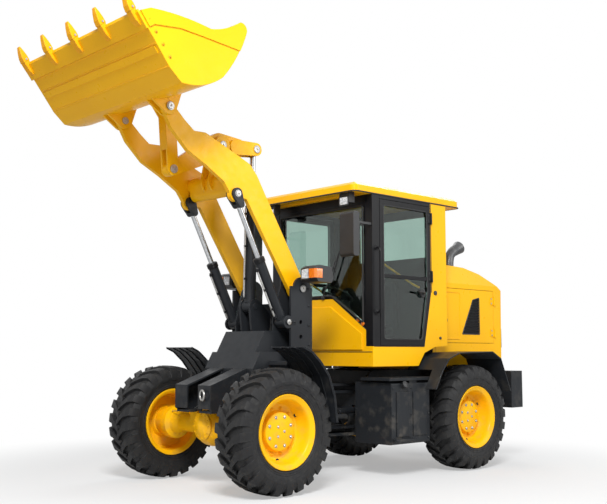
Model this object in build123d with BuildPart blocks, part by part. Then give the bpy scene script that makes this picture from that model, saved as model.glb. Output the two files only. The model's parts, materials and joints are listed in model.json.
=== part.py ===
"""Compact articulated wheel loader with a Z-bar bucket linkage.

Millimetres.  +X forward, +Y left, +Z up; the ground is z = 0 and x = 0 is the
middle of the machine's length.  The boom is raised and the bucket rolled back.
Side profiles are given as (forward of the steering hinge, height).
"""

import math
import os

from build123d import *

os.makedirs("parts", exist_ok=True)

# ---------------------------------------------------------------- driving sizes
hinge_x = -224.0
axle_reach = 1450.0
track = 1800.0
fit = 0.3
gap = 5.0

tyre_radius = 590.0
tyre_width = 410.0
rim_radius = 305.0
flange_radius = 341.0
hub_face = 40.0

cab_half_width = 800.0
cab_front = -30.0
cab_rear = -1305.0
cab_floor_z = 1170.0
cab_top_z = 3030.0
cab_wall = 50.0
door_front = -150.0
door_rear = -1020.0
sill_z = 1385.0
door_top_z = 2985.0
glass_thickness = 6.0

hood_half_width = 620.0
hood_rear = -2650.0
frame_side = 425.0
frame_plate = 25.0
frame_top_z = 1120.0

arm_centre = 385.0
arm_thickness = 50.0
tower_outer = arm_centre + 95.0
tower_inner = arm_centre - 95.0
tower_plate = 25.0
boom_pin = 40.0

bucket_width = 2080.0
bucket_sheet = 20.0
tooth_length = 190.0
pin_radius = 35.0

# pivots of the linkage as (forward of the steering hinge, height)
boom_pivot = (700.0, 1980.0)
bucket_pivot = (2368.0, 3622.0)
lift_base = (895.0, 1630.0)
lift_eye = (1540.0, 2887.0)
crank_pivot = (1450.0, 3450.0)
crank_top = (980.0, 3480.0)
crank_low = (2050.0, 3120.0)
link_top = (2100.0, 3700.0)
tilt_base = (1010.0, 1800.0)
torque_tube = (1500.0, 3060.0)
beam_foot = (1495.0, 2965.0)
beam_half = arm_centre - 70.0
steer_base = (-620.0, 240.0)
steer_eye = (280.0, 300.0)
steer_z = 680.0

front_axle_x = hinge_x + axle_reach
rear_axle_x = hinge_x - axle_reach
tower_gap_out = tower_outer - tower_plate
tower_gap_in = tower_inner + tower_plate


# ---------------------------------------------------------------- shared helpers
def save(part, name):
    """Label one finished piece and write its STEP file."""
    part.label = name
    export_step(part, f"parts/{name}.step")


def side(y):
    """Plane of a side profile at this y, drawn in X and Z, facing -Y."""
    return Plane.XZ.offset(-y)


def from_hinge(points):
    """Turn (forward of the hinge, height) into the machine's X and Z."""
    return [(hinge_x + forward, height) for forward, height in points]


def outline(plane, points):
    """Closed straight-sided face on a plane."""
    with BuildSketch(plane) as drawn:
        with BuildLine():
            Polyline(*points, close=True)
        make_face()
    return drawn.sketch


def strap(plane, ends):
    """Face round two or more circles, each given as (x, z, radius)."""
    with BuildSketch(plane) as drawn:
        with BuildLine():
            for x, z, radius in ends:
                CenterArc((x, z), radius, 0, 360)
        make_hull()
    return drawn.sketch


def disc(plane, centre, radius):
    """Round face on a plane."""
    with BuildSketch(plane) as drawn:
        with Locations(centre):
            Circle(radius)
    return drawn.sketch


def at(pivot):
    """A pivot's X and Z."""
    return (hinge_x + pivot[0], pivot[1])


def towards(start, end, distance):
    """Point this far from start on the line to end."""
    length = math.dist(start, end)
    share = distance / length
    return (start[0] + (end[0] - start[0]) * share, start[1] + (end[1] - start[1]) * share)


def band(points, centre, thickness):
    """Outline of a bent sheet: the points, and the same moved towards a centre."""
    inner = [towards(point, centre, thickness) for point in points]
    return points + inner[::-1]


def cylinder_plane(start, end, y, distance):
    """Plane square to the line between two pivots, this far from the first."""
    x, z = towards(start, end, distance)
    along = (end[0] - start[0], 0, end[1] - start[1])
    return Plane(origin=(x, y, z), x_dir=(0, 1, 0), z_dir=along)


# ---------------------------------------------------------------- wheels
def make_tyre(x, y):
    half = tyre_width / 2
    bead = flange_radius + 4
    with BuildPart() as tyre:
        with BuildSketch(Plane.YZ.offset(x)):
            with BuildLine():
                Polyline((y - half + 33, tyre_radius + rim_radius + fit),
                         (y + half - 33, tyre_radius + rim_radius + fit),
                         (y + half - 33, tyre_radius + bead))
                ThreePointArc((y + half - 33, tyre_radius + bead),
                              (y + half, tyre_radius + 430),
                              (y + half - 14, 2 * tyre_radius - 42))
                Line((y + half - 14, 2 * tyre_radius - 42), (y + half - 55, 2 * tyre_radius - 7))
                ThreePointArc((y + half - 55, 2 * tyre_radius - 7), (y, 2 * tyre_radius),
                              (y - half + 55, 2 * tyre_radius - 7))
                Line((y - half + 55, 2 * tyre_radius - 7), (y - half + 14, 2 * tyre_radius - 42))
                ThreePointArc((y - half + 14, 2 * tyre_radius - 42),
                              (y - half, tyre_radius + 430),
                              (y - half + 33, tyre_radius + bead))
                Line((y - half + 33, tyre_radius + bead),
                     (y - half + 33, tyre_radius + rim_radius + fit))
            make_face()
        revolve(axis=Axis((x, 0, tyre_radius), (0, 1, 0)))
    return tyre.part


def make_rim(x, y, outward):
    """Rim, dished disc and hub end; each row is (outward of the mid plane, radius)."""
    half = tyre_width / 2
    seat = half - 32
    section = [
        (-seat - 15, flange_radius), (-seat, flange_radius), (-seat, rim_radius),
        (seat, rim_radius), (seat, flange_radius), (seat + 15, flange_radius),
        (seat + 15, rim_radius - 9), (60, rim_radius - 14), (34, 255), (34, 172), (72, 160),
        (72, 118), (98, 104), (98, 0), (fit - hub_face, 0), (fit - hub_face, 140), (14, 158),
        (14, 268), (28, rim_radius - 14), (-seat - 15, rim_radius - 9),
    ]
    points = [(y + outward * along, tyre_radius + radius) for along, radius in section]
    with BuildPart() as rim:
        revolve(outline(Plane.YZ.offset(x), points), axis=Axis((x, 0, tyre_radius), (0, 1, 0)))
    return rim.part


for end_name, axle_x in (("front", front_axle_x), ("rear", rear_axle_x)):
    for side_name, outward in (("left", 1), ("right", -1)):
        wheel_y = outward * track / 2
        save(make_tyre(axle_x, wheel_y), f"tyre_{end_name}_{side_name}")
        save(make_rim(axle_x, wheel_y, outward), f"rim_{end_name}_{side_name}")


# ---------------------------------------------------------------- axles
pad_top = 730.0
front_pad_y = 250.0
rear_pad_y = 385.0


def make_axle(x, to_hinge, nose_length, pad_y):
    """Beam with its differential, hub reductions, spring pads and pinion nose."""
    hub_end = track / 2 - hub_face
    half_section = [(0, 0), (hub_end, 0), (hub_end, 138), (hub_end - 130, 142),
                    (hub_end - 135, 168), (hub_end - 215, 168), (hub_end - 235, 120),
                    (hub_end - 330, 88), (190, 88), (150, 120), (115, 168), (60, 200), (0, 205)]
    points = half_section + [(-y, radius) for y, radius in half_section[::-1][1:-1]]
    ring = [(y, tyre_radius + radius) for y, radius in points]
    with BuildPart() as axle:
        revolve(outline(Plane.YZ.offset(x), ring), axis=Axis((x, 0, tyre_radius), (0, 1, 0)))
        nose_plane = Plane(origin=(x, 0, tyre_radius), x_dir=(0, 1, 0), z_dir=(to_hinge, 0, 0))
        extrude(disc(nose_plane, (0, 0), 115), amount=230)
        extrude(disc(nose_plane, (0, 0), 78), amount=nose_length - 30)
        extrude(disc(nose_plane.offset(nose_length - 30), (0, 0), 95), amount=30)
        for y in (-pad_y, pad_y):
            with Locations((x, y, tyre_radius + (pad_top - tyre_radius) / 2)):
                Box(170, 120, pad_top - tyre_radius)
    return axle


front_axle = make_axle(front_axle_x, -1, 360.0, front_pad_y)
with BuildPart(mode=Mode.PRIVATE) as front_shaft:
    shaft_start = front_axle_x - 360
    shaft_plane = Plane(origin=(shaft_start, 0, tyre_radius), x_dir=(0, 1, 0), z_dir=(-1, 0, 0))
    shaft_length = shaft_start - hinge_x - 60
    extrude(disc(shaft_plane, (0, 0), 38), amount=shaft_length)
    extrude(disc(shaft_plane.offset(shaft_length - 70), (0, 0), 52), amount=70)
save(front_axle.part + front_shaft.part, "front_axle")
rear_axle = make_axle(rear_axle_x, 1, 360.0, rear_pad_y)
save(rear_axle.part, "rear_axle")

# ---------------------------------------------------------------- steering hinge
lug_radius = 100.0
lug_thickness = 40.0
lug_heights = (450.0, 920.0)


def hitch_plate(root_x, root_half, z, thickness):
    """Level lug plate from a cross plate to the round end at the hinge."""
    plane = Plane.XY.offset(z - thickness / 2)
    with BuildSketch(plane) as drawn:
        with BuildLine():
            CenterArc((hinge_x, 0), lug_radius, 0, 360)
            CenterArc((root_x, root_half), 1, 0, 360)
            CenterArc((root_x, -root_half), 1, 0, 360)
        make_hull()
    return drawn.sketch


# ---------------------------------------------------------------- front frame
front_cross = 400.0
tower_rear = 560.0
tower_back = 24.0
saddle_z = pad_top
box_side = arm_centre + 5.0
box_top = 1325.0
shelf_z = 1540.0
nose_side = 290.0
nose_front = 1740.0
nose_top = 1000.0
slope = [(1075.0, shelf_z), (1197.0, box_top), (1290.0, 1160.0)]
foot_x, foot_z = slope[2]


def cross_sheet(points, behind, thickness, half_width):
    """Bent sheet across the machine: its outer line, a point behind it, its thickness."""
    line = from_hinge(points)
    return extrude(outline(side(half_width), band(line, at(behind), thickness)),
                   amount=2 * half_width)


with BuildPart() as front_frame:
    # sides of the wide box, of the raised middle and of the nose
    wide_profile = from_hinge([
        (front_cross - 20, 420), (980, 420), (1180, saddle_z), (foot_x, saddle_z), slope[2],
        slope[1], (tower_rear, box_top), (tower_rear, 1150), (front_cross - 20, 1020),
    ])
    middle_profile = from_hinge([(tower_rear, 1000), (tower_rear, shelf_z), *slope, (foot_x, 1000)])
    for profile, outer in ((wide_profile, box_side), (middle_profile, tower_gap_in)):
        for y in (outer, -outer + tower_plate):
            extrude(outline(side(y), profile), amount=tower_plate)
    cross_sheet(slope[:2], (800, 1100), 18, tower_gap_in - 6)
    cross_sheet(slope[1:], (900, 1000), 18, box_side - 6)
    # cross plates: hinge box, tower back, lids, step and belly
    for x, z, length, height, half_width in (
        (front_cross, 720, 30, 600, box_side - 10),
        (tower_rear + tower_back / 2, 1500, tower_back, 700, tower_gap_out - fit),
        ((tower_rear + slope[1][0]) / 2, box_top - 12, slope[1][0] - tower_rear, 24, box_side - 6),
        ((tower_rear + slope[0][0]) / 2, shelf_z - 12, slope[0][0] - tower_rear, 24, tower_gap_in - 6),
        (foot_x - 10, (saddle_z + foot_z) / 2, 20, foot_z - saddle_z, box_side - 6),
        (700, 430, 560, 20, box_side - 10),
    ):
        with Locations((hinge_x + x, 0, z)):
            Box(length, 2 * half_width, height)
    # hinge lugs, bored for their pins
    for z in lug_heights:
        extrude(hitch_plate(hinge_x + front_cross, 200, z, lug_thickness), amount=lug_thickness)
    for z in lug_heights:
        with Locations((hinge_x, 0, z)):
            Cylinder(pin_radius + fit, 3 * lug_thickness, mode=Mode.SUBTRACT)
    # way through for the drive shaft
    with Locations(Plane.YZ.offset(hinge_x + front_cross)):
        with Locations((0, tyre_radius)):
            Cylinder(110, 100, mode=Mode.SUBTRACT)
    # steering rod brackets
    for y_sign in (1, -1):
        for z in (steer_z - 55, steer_z + 35):
            with BuildSketch(Plane.XY.offset(z)):
                with BuildLine():
                    CenterArc((hinge_x + steer_eye[0], y_sign * steer_eye[1]), 48, 0, 360)
                    CenterArc((hinge_x + front_cross, y_sign * (steer_eye[1] + 60)), 10, 0, 360)
                    CenterArc((hinge_x + front_cross, y_sign * (steer_eye[1] - 90)), 10, 0, 360)
                make_hull()
            extrude(amount=20)
    # room for the differential's casing
    bulge = disc(side(170), (front_axle_x, tyre_radius), 220)
    extrude(bulge, amount=340, mode=Mode.SUBTRACT)
    # ears and pin of the tilt cylinder
    for y in (91, -66):
        ear = strap(side(y), [(*at(tilt_base), 75), (*at((990, shelf_z + 30)), 70),
                              (*at((700, shelf_z + 30)), 50)])
        extrude(ear, amount=25)
    extrude(disc(side(100), at(tilt_base), 30), amount=200)
save(front_frame.part, "front_frame")

nose_rear = foot_x + fit
nose_start = (nose_rear, foot_z - 0.1)
nose_profile = from_hinge([
    (nose_rear, saddle_z), (nose_front - 45, saddle_z), (nose_front, saddle_z + 45),
    (nose_front, nose_top), nose_start,
])
with BuildPart() as front_nose:
    for y in (nose_side, -nose_side + tower_plate):
        extrude(outline(side(y), nose_profile), amount=tower_plate)
    cross_sheet([nose_start, (nose_front, nose_top)], (1350, 500), 18, nose_side - 6)
    for x, z, length, height in (
        (nose_rear + 10, (saddle_z + foot_z) / 2 - 15, 20, foot_z - saddle_z - 40),
        ((nose_rear + 1720) / 2, saddle_z + 12, 1720 - nose_rear, 24),
        (nose_front - 9, (saddle_z + nose_top) / 2 + 20, 18, nose_top - saddle_z - 40),
    ):
        with Locations((hinge_x + x, 0, z)):
            Box(length, 2 * nose_side - 12, height)
    # way down for the bellcrank and the bucket link when the boom is low
    with Locations((hinge_x + 1500, 0, 950)):
        Box(1000, 180, 600, mode=Mode.SUBTRACT)
    # room for the differential's casing
    bulge = disc(side(170), (front_axle_x, tyre_radius), 220)
    extrude(bulge, amount=340, mode=Mode.SUBTRACT)
save(front_nose.part, "front_nose")

# ---------------------------------------------------------------- towers
tower_front = 860.0
tower_top = 2000.0
lift_boss = 66.0
outer_profile = from_hinge([(tower_rear, 1120), (tower_front, 1120), (tower_front, tower_top),
                            (tower_rear, tower_top)])
inner_rear = tower_rear + tower_back + fit
inner_profile = from_hinge([(inner_rear, shelf_z + fit), (lift_base[0] + 60, shelf_z + fit),
                            (lift_base[0] + 60, lift_base[1] + 40), (tower_front, tower_top),
                            (inner_rear, tower_top)])
with BuildPart() as towers:
    for y_sign in (1, -1):
        plates = ((tower_gap_out, outer_profile), (tower_inner, inner_profile))
        for y_near, profile in plates:
            y_start = y_near + tower_plate if y_sign > 0 else -y_near
            extrude(outline(side(y_start), profile), amount=tower_plate)
            extrude(disc(side(y_start), at(boom_pivot), 120), amount=tower_plate)
            extrude(disc(side(y_start), at(lift_base), lift_boss), amount=tower_plate)
        # lightening holes in the outer plate, and the bracket that ties it to the box
        for z in (1330, 1480, 1630):
            hole = disc(Plane.XZ.offset(-y_sign * tower_outer), (hinge_x + 720, z), 22)
            extrude(hole, amount=y_sign * (tower_plate + 1), mode=Mode.SUBTRACT)
        bracket_width = tower_gap_out - box_side - fit
        with Locations((hinge_x + 720, y_sign * (tower_gap_out - bracket_width / 2), 1140)):
            Box(270, bracket_width, 40)
        pin_length = tower_outer - tower_inner + 24
        for pivot, radius in ((boom_pivot, boom_pin), (lift_base, 30)):
            y_start = y_sign * (tower_outer + tower_inner) / 2 + pin_length / 2
            extrude(disc(side(y_start), at(pivot), radius), amount=pin_length)
save(towers.part, "towers")

# ---------------------------------------------------------------- front fenders
fender_outer = 1125.0
fender_inner = 655.0
front_fender_line = from_hinge([(1275, 1375), (1180, 1335), (1060, 1235), (950, 1105),
                                (870, 900), (836, 650)])
wheel_centre = at((axle_reach, tyre_radius))
with BuildPart() as front_fenders:
    for y_start in (fender_outer, -fender_inner):
        sheet = outline(side(y_start), band(front_fender_line, wheel_centre, 8))
        extrude(sheet, amount=fender_outer - fender_inner)
    # ribs under the sheet and the outer rim
    for y in (fender_outer, 1010, 900, 790, fender_inner + 14):
        for y_start in (y, -y + 14):
            rib = outline(side(y_start), band(front_fender_line, wheel_centre, 16))
            extrude(rib, amount=14)
    for y_start in (fender_inner + 5, -box_side - fit):
        root = band(front_fender_line[2:4], wheel_centre, 45)
        extrude(outline(side(y_start), root), amount=fender_inner + 5 - box_side - fit)
save(front_fenders.part, "front_fenders")

# ---------------------------------------------------------------- headlamps
lamp_profile = from_hinge([(555, 2075), (585, 2030), (770, 2035), (812, 2085), (802, 2175),
                           (750, 2205), (585, 2190)])
with BuildPart() as headlamps:
    for y_start in (795, -570):
        extrude(outline(side(y_start), lamp_profile), amount=225)
    chamfer(headlamps.faces().sort_by(Axis.X)[-2:].edges().filter_by(Axis.Z, tolerance=20), 12)
    for y_sign in (1, -1):
        arm_length = 580 - tower_outer - fit
        with Locations((hinge_x + 690, y_sign * (tower_outer + fit + arm_length / 2), 2055)):
            Box(60, arm_length, 34)
save(headlamps.part, "headlamps")

# ---------------------------------------------------------------- boom
arm_profile = from_hinge([
    (610, 2040), (1150, 2915), (1267, 3108), (1362, 3212), (1476, 3261), (1925, 3446),
    (2061, 3441), (2172, 3527), (2327, 3673), (2409, 3571), (2325, 3425), (2134, 3241),
    (1920, 3133), (1690, 2995), (1600, 2870), (1400, 2850), (790, 1920),
])


def make_arm(centre_y):
    with BuildPart() as arm:
        start = centre_y + arm_thickness / 2
        with BuildSketch(side(start)):
            with BuildLine():
                Polyline(*arm_profile, close=True)
            make_face()
            fillet(vertices().sort_by(Axis.X)[5:12], 30)
            for pivot, radius in ((boom_pivot, 110), (bucket_pivot, 66), (lift_eye, 75)):
                with Locations(at(pivot)):
                    Circle(radius)
        extrude(amount=arm_thickness)
        hub_half = (tower_outer - tower_inner) / 2 - tower_plate - gap
        extrude(disc(side(centre_y + hub_half), at(boom_pivot), 85), amount=2 * hub_half)
        for pivot, bore in ((boom_pivot, boom_pin + fit), (bucket_pivot, pin_radius + fit)):
            hole = disc(side(centre_y + 120), at(pivot), bore)
            extrude(hole, amount=240, mode=Mode.SUBTRACT)
    return arm.part


save(make_arm(arm_centre), "boom_arm_left")
save(make_arm(-arm_centre), "boom_arm_right")

arm_inside = arm_centre - arm_thickness / 2
crank_half = 42.0
bracket_half = 75.0
with BuildPart() as torque_beam:
    extrude(disc(side(arm_inside), at(torque_tube), 80), amount=2 * arm_inside)
    beam = strap(side(beam_half), [(*at(torque_tube), 85), (*at(beam_foot), 75)])
    extrude(beam, amount=2 * beam_half)
    for y in (bracket_half, -crank_half - 3):
        bracket = strap(side(y), [(*at(torque_tube), 120), (*at(crank_pivot), 95)])
        extrude(bracket, amount=bracket_half - crank_half - 3)
    hole = disc(side(bracket_half + 1), at(crank_pivot), pin_radius + fit)
    extrude(hole, amount=2 * bracket_half + 2, mode=Mode.SUBTRACT)
save(torque_beam.part, "boom_cross_tube")

# ---------------------------------------------------------------- bellcrank and link
cheek_in = 42.0
cheek_out = 64.0
with BuildPart() as bellcrank:
    for pair in ((crank_top, crank_pivot), (crank_pivot, crank_low)):
        ends = [(*at(pivot), 135 if pivot == crank_pivot else 65) for pivot in pair]
        extrude(strap(side(30), ends), amount=60)
    extrude(disc(side(crank_half), at(crank_pivot), 90), amount=2 * crank_half)
    middle = towards(at(crank_top), at(crank_pivot), 275)
    extrude(strap(side(cheek_out), [(*at(crank_top), 70), (*middle, 80)]), amount=2 * cheek_out)
    slot_end = towards(at(crank_top), at(crank_pivot), 135)
    slot_start = towards(at(crank_top), at(crank_pivot), -120)
    extrude(strap(side(cheek_in), [(*slot_start, 100), (*slot_end, 100)]),
            amount=2 * cheek_in, mode=Mode.SUBTRACT)
    for pivot, bore in ((crank_pivot, pin_radius + fit), (crank_low, 25 + fit)):
        extrude(disc(side(80), at(pivot), bore), amount=160, mode=Mode.SUBTRACT)
save(bellcrank.part, "bellcrank")

with BuildPart() as bellcrank_pin:
    extrude(disc(side(bracket_half + 8), at(crank_pivot), pin_radius), amount=2 * bracket_half + 16)
save(bellcrank_pin.part, "bellcrank_pin")

link_half = 60.0
with BuildPart() as bucket_link:
    extrude(strap(side(link_half), [(*at(crank_low), 62), (*at(link_top), 62)]),
            amount=2 * link_half)
    notch = towards(at(crank_low), at(link_top), 130)
    below = towards(at(crank_low), at(link_top), -160)
    extrude(strap(side(34), [(*below, 90), (*notch, 90)]), amount=68, mode=Mode.SUBTRACT)
    extrude(disc(side(80), at(crank_low), 25 + fit), amount=160, mode=Mode.SUBTRACT)
save(bucket_link.part, "bucket_link")

with BuildPart() as link_pin:
    extrude(disc(side(link_half + 8), at(crank_low), 25), amount=2 * link_half + 16)
save(link_pin.part, "link_pin")

# ---------------------------------------------------------------- bucket
lip_point = (3111.0, 4190.0)
bend_point = (2782.0, 3766.0)
heel_point = (2658.0, 3660.0)
back_point = (2201.0, 3800.0)
brow_point = (1933.0, 4285.0)
tip_point = (2013.0, 4360.0)
dip_point = (2349.0, 4214.0)
crest_point = (2996.0, 4242.0)
half_bucket = bucket_width / 2
strip_thickness = 12.0
side_face = half_bucket - strip_thickness
side_plate = 25.0


def bucket_outline(plane):
    """Side of the bucket: straight floor, curved heel and back, rounded spill tip, low crest."""
    with BuildSketch(plane) as drawn:
        with BuildLine():
            Polyline(at(crest_point), at(lip_point), at(bend_point), at(heel_point))
            ThreePointArc(at(heel_point), at((2443, 3678)), at(back_point))
            ThreePointArc(at(back_point), at((2030, 4048)), at(brow_point))
            ThreePointArc(at(brow_point), at((1954, 4344)), at(tip_point))
            ThreePointArc(at(tip_point), at((2170, 4268)), at(dip_point))
            ThreePointArc(at(dip_point), at((2700, 4250)), at(crest_point))
        make_face()
    return drawn.sketch


mouth = from_hinge([(2065, 4345), (2140, 4190), (3050, 4148), (3088, 4196), (3200, 4700),
                    (1850, 4700), (1985, 4372)])
with BuildPart() as bucket:
    extrude(bucket_outline(side(side_face)), amount=2 * side_face)
    # raised strip along the top of each side plate
    strip_line = [(3001, 4074), (2952, 4108), (2683, 4140), (2413, 4123), (2010, 4090)]
    below_strip = from_hinge(strip_line + [(1500, 4090), (1500, 3500), (3200, 3500), (3200, 4330)])
    for y_start in (half_bucket, -side_face):
        with BuildSketch(side(y_start)) as strip:
            add(bucket_outline(side(y_start)))
            add(outline(side(y_start), below_strip), mode=Mode.SUBTRACT)
        extrude(amount=strip_thickness)
    # ears for the boom pins, both sides of each arm, and for the link
    ear_feet = from_hinge([(2560, 3664), (2235, 3795)])
    for centre_y in (arm_centre, -arm_centre):
        for y in (centre_y + 55, centre_y - 30):
            ends = [(*at(bucket_pivot), 80)] + [(x, z, 8) for x, z in ear_feet]
            extrude(strap(side(y), ends), amount=25)
        hole = disc(side(centre_y + 60), at(bucket_pivot), pin_radius + fit)
        extrude(hole, amount=120, mode=Mode.SUBTRACT)
    link_feet = from_hinge([(2240, 3790), (2112, 3935)])
    for y in (link_half + 30, -link_half - 5):
        ends = [(*at(link_top), 62)] + [(x, z, 8) for x, z in link_feet]
        extrude(strap(side(y), ends), amount=25)
    # the inside
    with BuildSketch(side(side_face - side_plate)):
        add(bucket_outline(side(side_face - side_plate)))
        offset(amount=-bucket_sheet, kind=Kind.ARC)
        with BuildLine():
            Polyline(*mouth, close=True)
        make_face()
    extrude(amount=2 * (side_face - side_plate), mode=Mode.SUBTRACT)
save(bucket.part, "bucket")

with BuildPart() as bucket_pins:
    for centre_y in (arm_centre, -arm_centre):
        extrude(disc(side(centre_y + 65), at(bucket_pivot), pin_radius), amount=130)
save(bucket_pins.part, "bucket_pins")

lip = at(lip_point)
floor_bend = at(bend_point)
floor_length = math.dist(lip, floor_bend)
floor_x = (lip[0] - floor_bend[0]) / floor_length
floor_z = (lip[1] - floor_bend[1]) / floor_length


def on_floor(along, below):
    """Point past the lip along the floor, and below it."""
    return (lip[0] + floor_x * along + floor_z * below, lip[1] + floor_z * along - floor_x * below)


with BuildPart() as cutting_edge:
    strip = [on_floor(-160, fit), on_floor(15, fit), on_floor(-5, 22), on_floor(-160, 22)]
    extrude(outline(side(half_bucket), strip), amount=bucket_width)
    for y in (-960, -480, 0, 480, 960):
        tooth = [on_floor(-90, 18), on_floor(-90, 44), on_floor(10, 48),
                 on_floor(tooth_length, 4), on_floor(tooth_length, -10), on_floor(10, 4)]
        extrude(outline(side(y + 35), tooth), amount=70)
save(cutting_edge.part, "cutting_edge")


# ---------------------------------------------------------------- cylinders
def make_barrel(base, eye, y, radius, mouth_distance, bore, eye_half):
    """Cylinder barrel: its base eye, tube and gland ring."""
    start, end = at(base), at(eye)
    with BuildPart() as barrel:
        tube_plane = cylinder_plane(start, end, y, 40)
        extrude(disc(tube_plane, (0, 0), radius), amount=mouth_distance - 75)
        # oil pipe along the front, from its port near the gland down to the base
        for x_offset, z_offset, tube, first, last in ((0, -radius - 16, 9, 75, mouth_distance - 95),
                                                      (0, -radius - 8, 16, 85, 120),
                                                      (0, -radius - 8, 16, mouth_distance - 120,
                                                       mouth_distance - 85)):
            pipe_plane = cylinder_plane(start, end, y, first)
            extrude(disc(pipe_plane, (x_offset, z_offset), tube), amount=last - first)
        gland_plane = cylinder_plane(start, end, y, mouth_distance - 45)
        extrude(disc(gland_plane, (0, 0), radius + 4), amount=45)
        extrude(disc(side(y + eye_half), start, radius + 4), amount=2 * eye_half)
        extrude(disc(side(y + eye_half + 1), start, bore), amount=2 * eye_half + 2,
                mode=Mode.SUBTRACT)
        rod_hole = cylinder_plane(start, end, y, radius + 20)
        extrude(disc(rod_hole, (0, 0), radius * 0.52 + fit), amount=mouth_distance,
                mode=Mode.SUBTRACT)
    return barrel.part


def make_rod(base, eye, y, radius, inner_end, neck):
    """Chrome rod that reaches down the barrel."""
    start, end = at(base), at(eye)
    length = math.dist(start, end) - neck - inner_end
    with BuildPart() as rod:
        extrude(disc(cylinder_plane(start, end, y, inner_end), (0, 0), radius), amount=length)
    return rod


slot_half = arm_thickness / 2 + 3
for side_name, centre_y in (("left", arm_centre), ("right", -arm_centre)):
    barrel = make_barrel(lift_base, lift_eye, centre_y, 52, 715, 30 + fit, 60)
    save(barrel, f"lift_barrel_{side_name}")
    rod = make_rod(lift_base, lift_eye, centre_y, 27, 625, 120)
    with BuildPart() as fork:
        eye_x, eye_z = at(lift_eye)
        root = towards(at(lift_eye), at(lift_base), 115)
        fork_half = slot_half + 30
        extrude(strap(side(centre_y + fork_half), [(eye_x, eye_z, 60), (*root, 34)]),
                amount=2 * fork_half)
        slot_low = towards(at(lift_eye), at(lift_base), 20)
        slot_high = towards(at(lift_eye), at(lift_base), -120)
        extrude(strap(side(centre_y + slot_half), [(*slot_low, 86), (*slot_high, 86)]), amount=2 * slot_half,
                mode=Mode.SUBTRACT)
    save(rod.part + fork.part, f"lift_rod_{side_name}")

tilt_barrel = make_barrel(tilt_base, crank_top, 0, 62, 1150, 30 + fit, 55)
save(tilt_barrel, "tilt_barrel")
tilt_rod = make_rod(tilt_base, crank_top, 0, 32, 780, 40)
with BuildPart() as tilt_eye:
    extrude(disc(side(38), at(crank_top), 62), amount=76)
save(tilt_rod.part + tilt_eye.part, "tilt_rod")

for side_name, y_sign in (("left", 1), ("right", -1)):
    base = Vector(hinge_x + steer_base[0], y_sign * steer_base[1], steer_z)
    tip = Vector(hinge_x + steer_eye[0], y_sign * steer_eye[1], steer_z)
    along = (tip - base).normalized()
    with BuildPart() as steer_barrel:
        extrude(disc(Plane(origin=base + along * 25, z_dir=along), (0, 0), 35), amount=560)
        with Locations(base):
            Cylinder(36, 60)
            Cylinder(20 + fit, 80, mode=Mode.SUBTRACT)
        extrude(disc(Plane(origin=base + along * 60, z_dir=along), (0, 0), 18 + fit),
                amount=600, mode=Mode.SUBTRACT)
    save(steer_barrel.part, f"steering_barrel_{side_name}")
    with BuildPart() as steer_rod:
        rod_length = (tip - base).length - 400 - 20
        extrude(disc(Plane(origin=base + along * 400, z_dir=along), (0, 0), 18),
                amount=rod_length)
        with Locations(tip):
            Cylinder(36, 60)
    save(steer_rod.part, f"steering_rod_{side_name}")

# ---------------------------------------------------------------- rear frame
rear_cross = -400.0
side_profile = from_hinge([
    (-300, 420), (-300, 1020), (-420, frame_top_z), (-2500, frame_top_z), (-2500, 800),
    (-2000, saddle_z), (-1150, saddle_z), (-980, 520), (-700, 420),
])
with BuildPart() as rear_frame:
    for y in (frame_side, -frame_side + frame_plate):
        extrude(outline(side(y), side_profile), amount=frame_plate)
    inside = 2 * frame_side - 20
    with Locations((hinge_x + rear_cross, 0, 770)):
        Box(30, inside, 690)
    with Locations((hinge_x - 1450, 0, 742)):
        Box(200, inside, 24)
    with Locations((hinge_x - 2480, 0, 960)):
        Box(30, inside, 310)
    for z in lug_heights:
        for z_plate in (z - lug_thickness / 2 - gap - 15, z + lug_thickness / 2 + gap + 15):
            extrude(hitch_plate(hinge_x + rear_cross, 200, z_plate, 30), amount=30)
        with Locations((hinge_x, 0, z)):
            Cylinder(pin_radius, lug_thickness + 2 * gap + 90)
    with Locations(Plane.YZ.offset(hinge_x + rear_cross)):
        with Locations((0, tyre_radius)):
            Cylinder(90, 100, mode=Mode.SUBTRACT)
    bulge = disc(side(170), (rear_axle_x, tyre_radius), 220)
    extrude(bulge, amount=340, mode=Mode.SUBTRACT)
    for y_sign in (1, -1):
        with Locations((hinge_x + rear_cross, y_sign * 255, steer_z)):
            Box(60, 230, 94, mode=Mode.SUBTRACT)
    # steering cylinder brackets and pins
    for y_sign in (1, -1):
        with Locations((hinge_x + steer_base[0], y_sign * steer_base[1], steer_z)):
            Cylinder(20, 110)
        for z in (steer_z - 55, steer_z + 35):
            bracket_y = (frame_side + steer_base[1] - 25) / 2
            with Locations((hinge_x + steer_base[0], y_sign * bracket_y, z + 10)):
                Box(90, frame_side - steer_base[1] + 25, 20)
save(rear_frame.part, "rear_frame")

# ---------------------------------------------------------------- power train blocks
with BuildPart() as transmission:
    with Locations((hinge_x - 740, 0, 800)):
        Box(380, 380, 520)
    chamfer(transmission.edges().filter_by(Axis.X), 60)
    with Locations((hinge_x - 740, 0, 880)):
        Box(120, 2 * (frame_side - frame_plate - fit), 80)
    shaft_plane = Plane(origin=(hinge_x - 60, 0, tyre_radius), x_dir=(0, 1, 0), z_dir=(-1, 0, 0))
    extrude(disc(shaft_plane, (0, 0), 38), amount=axle_reach - 360 - 60 - fit)
    extrude(disc(shaft_plane, (0, 0), 52), amount=70)
save(transmission.part, "transmission")

with BuildPart() as engine_block:
    with Locations((hinge_x - 1830, 0, 1250)):
        Box(920, 520, 880)
    with Locations((hinge_x - 1600, 0, 900), (hinge_x - 2150, 0, 900)):
        Box(100, 2 * (frame_side - frame_plate - fit), 80)
save(engine_block.part, "engine_block")

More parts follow.
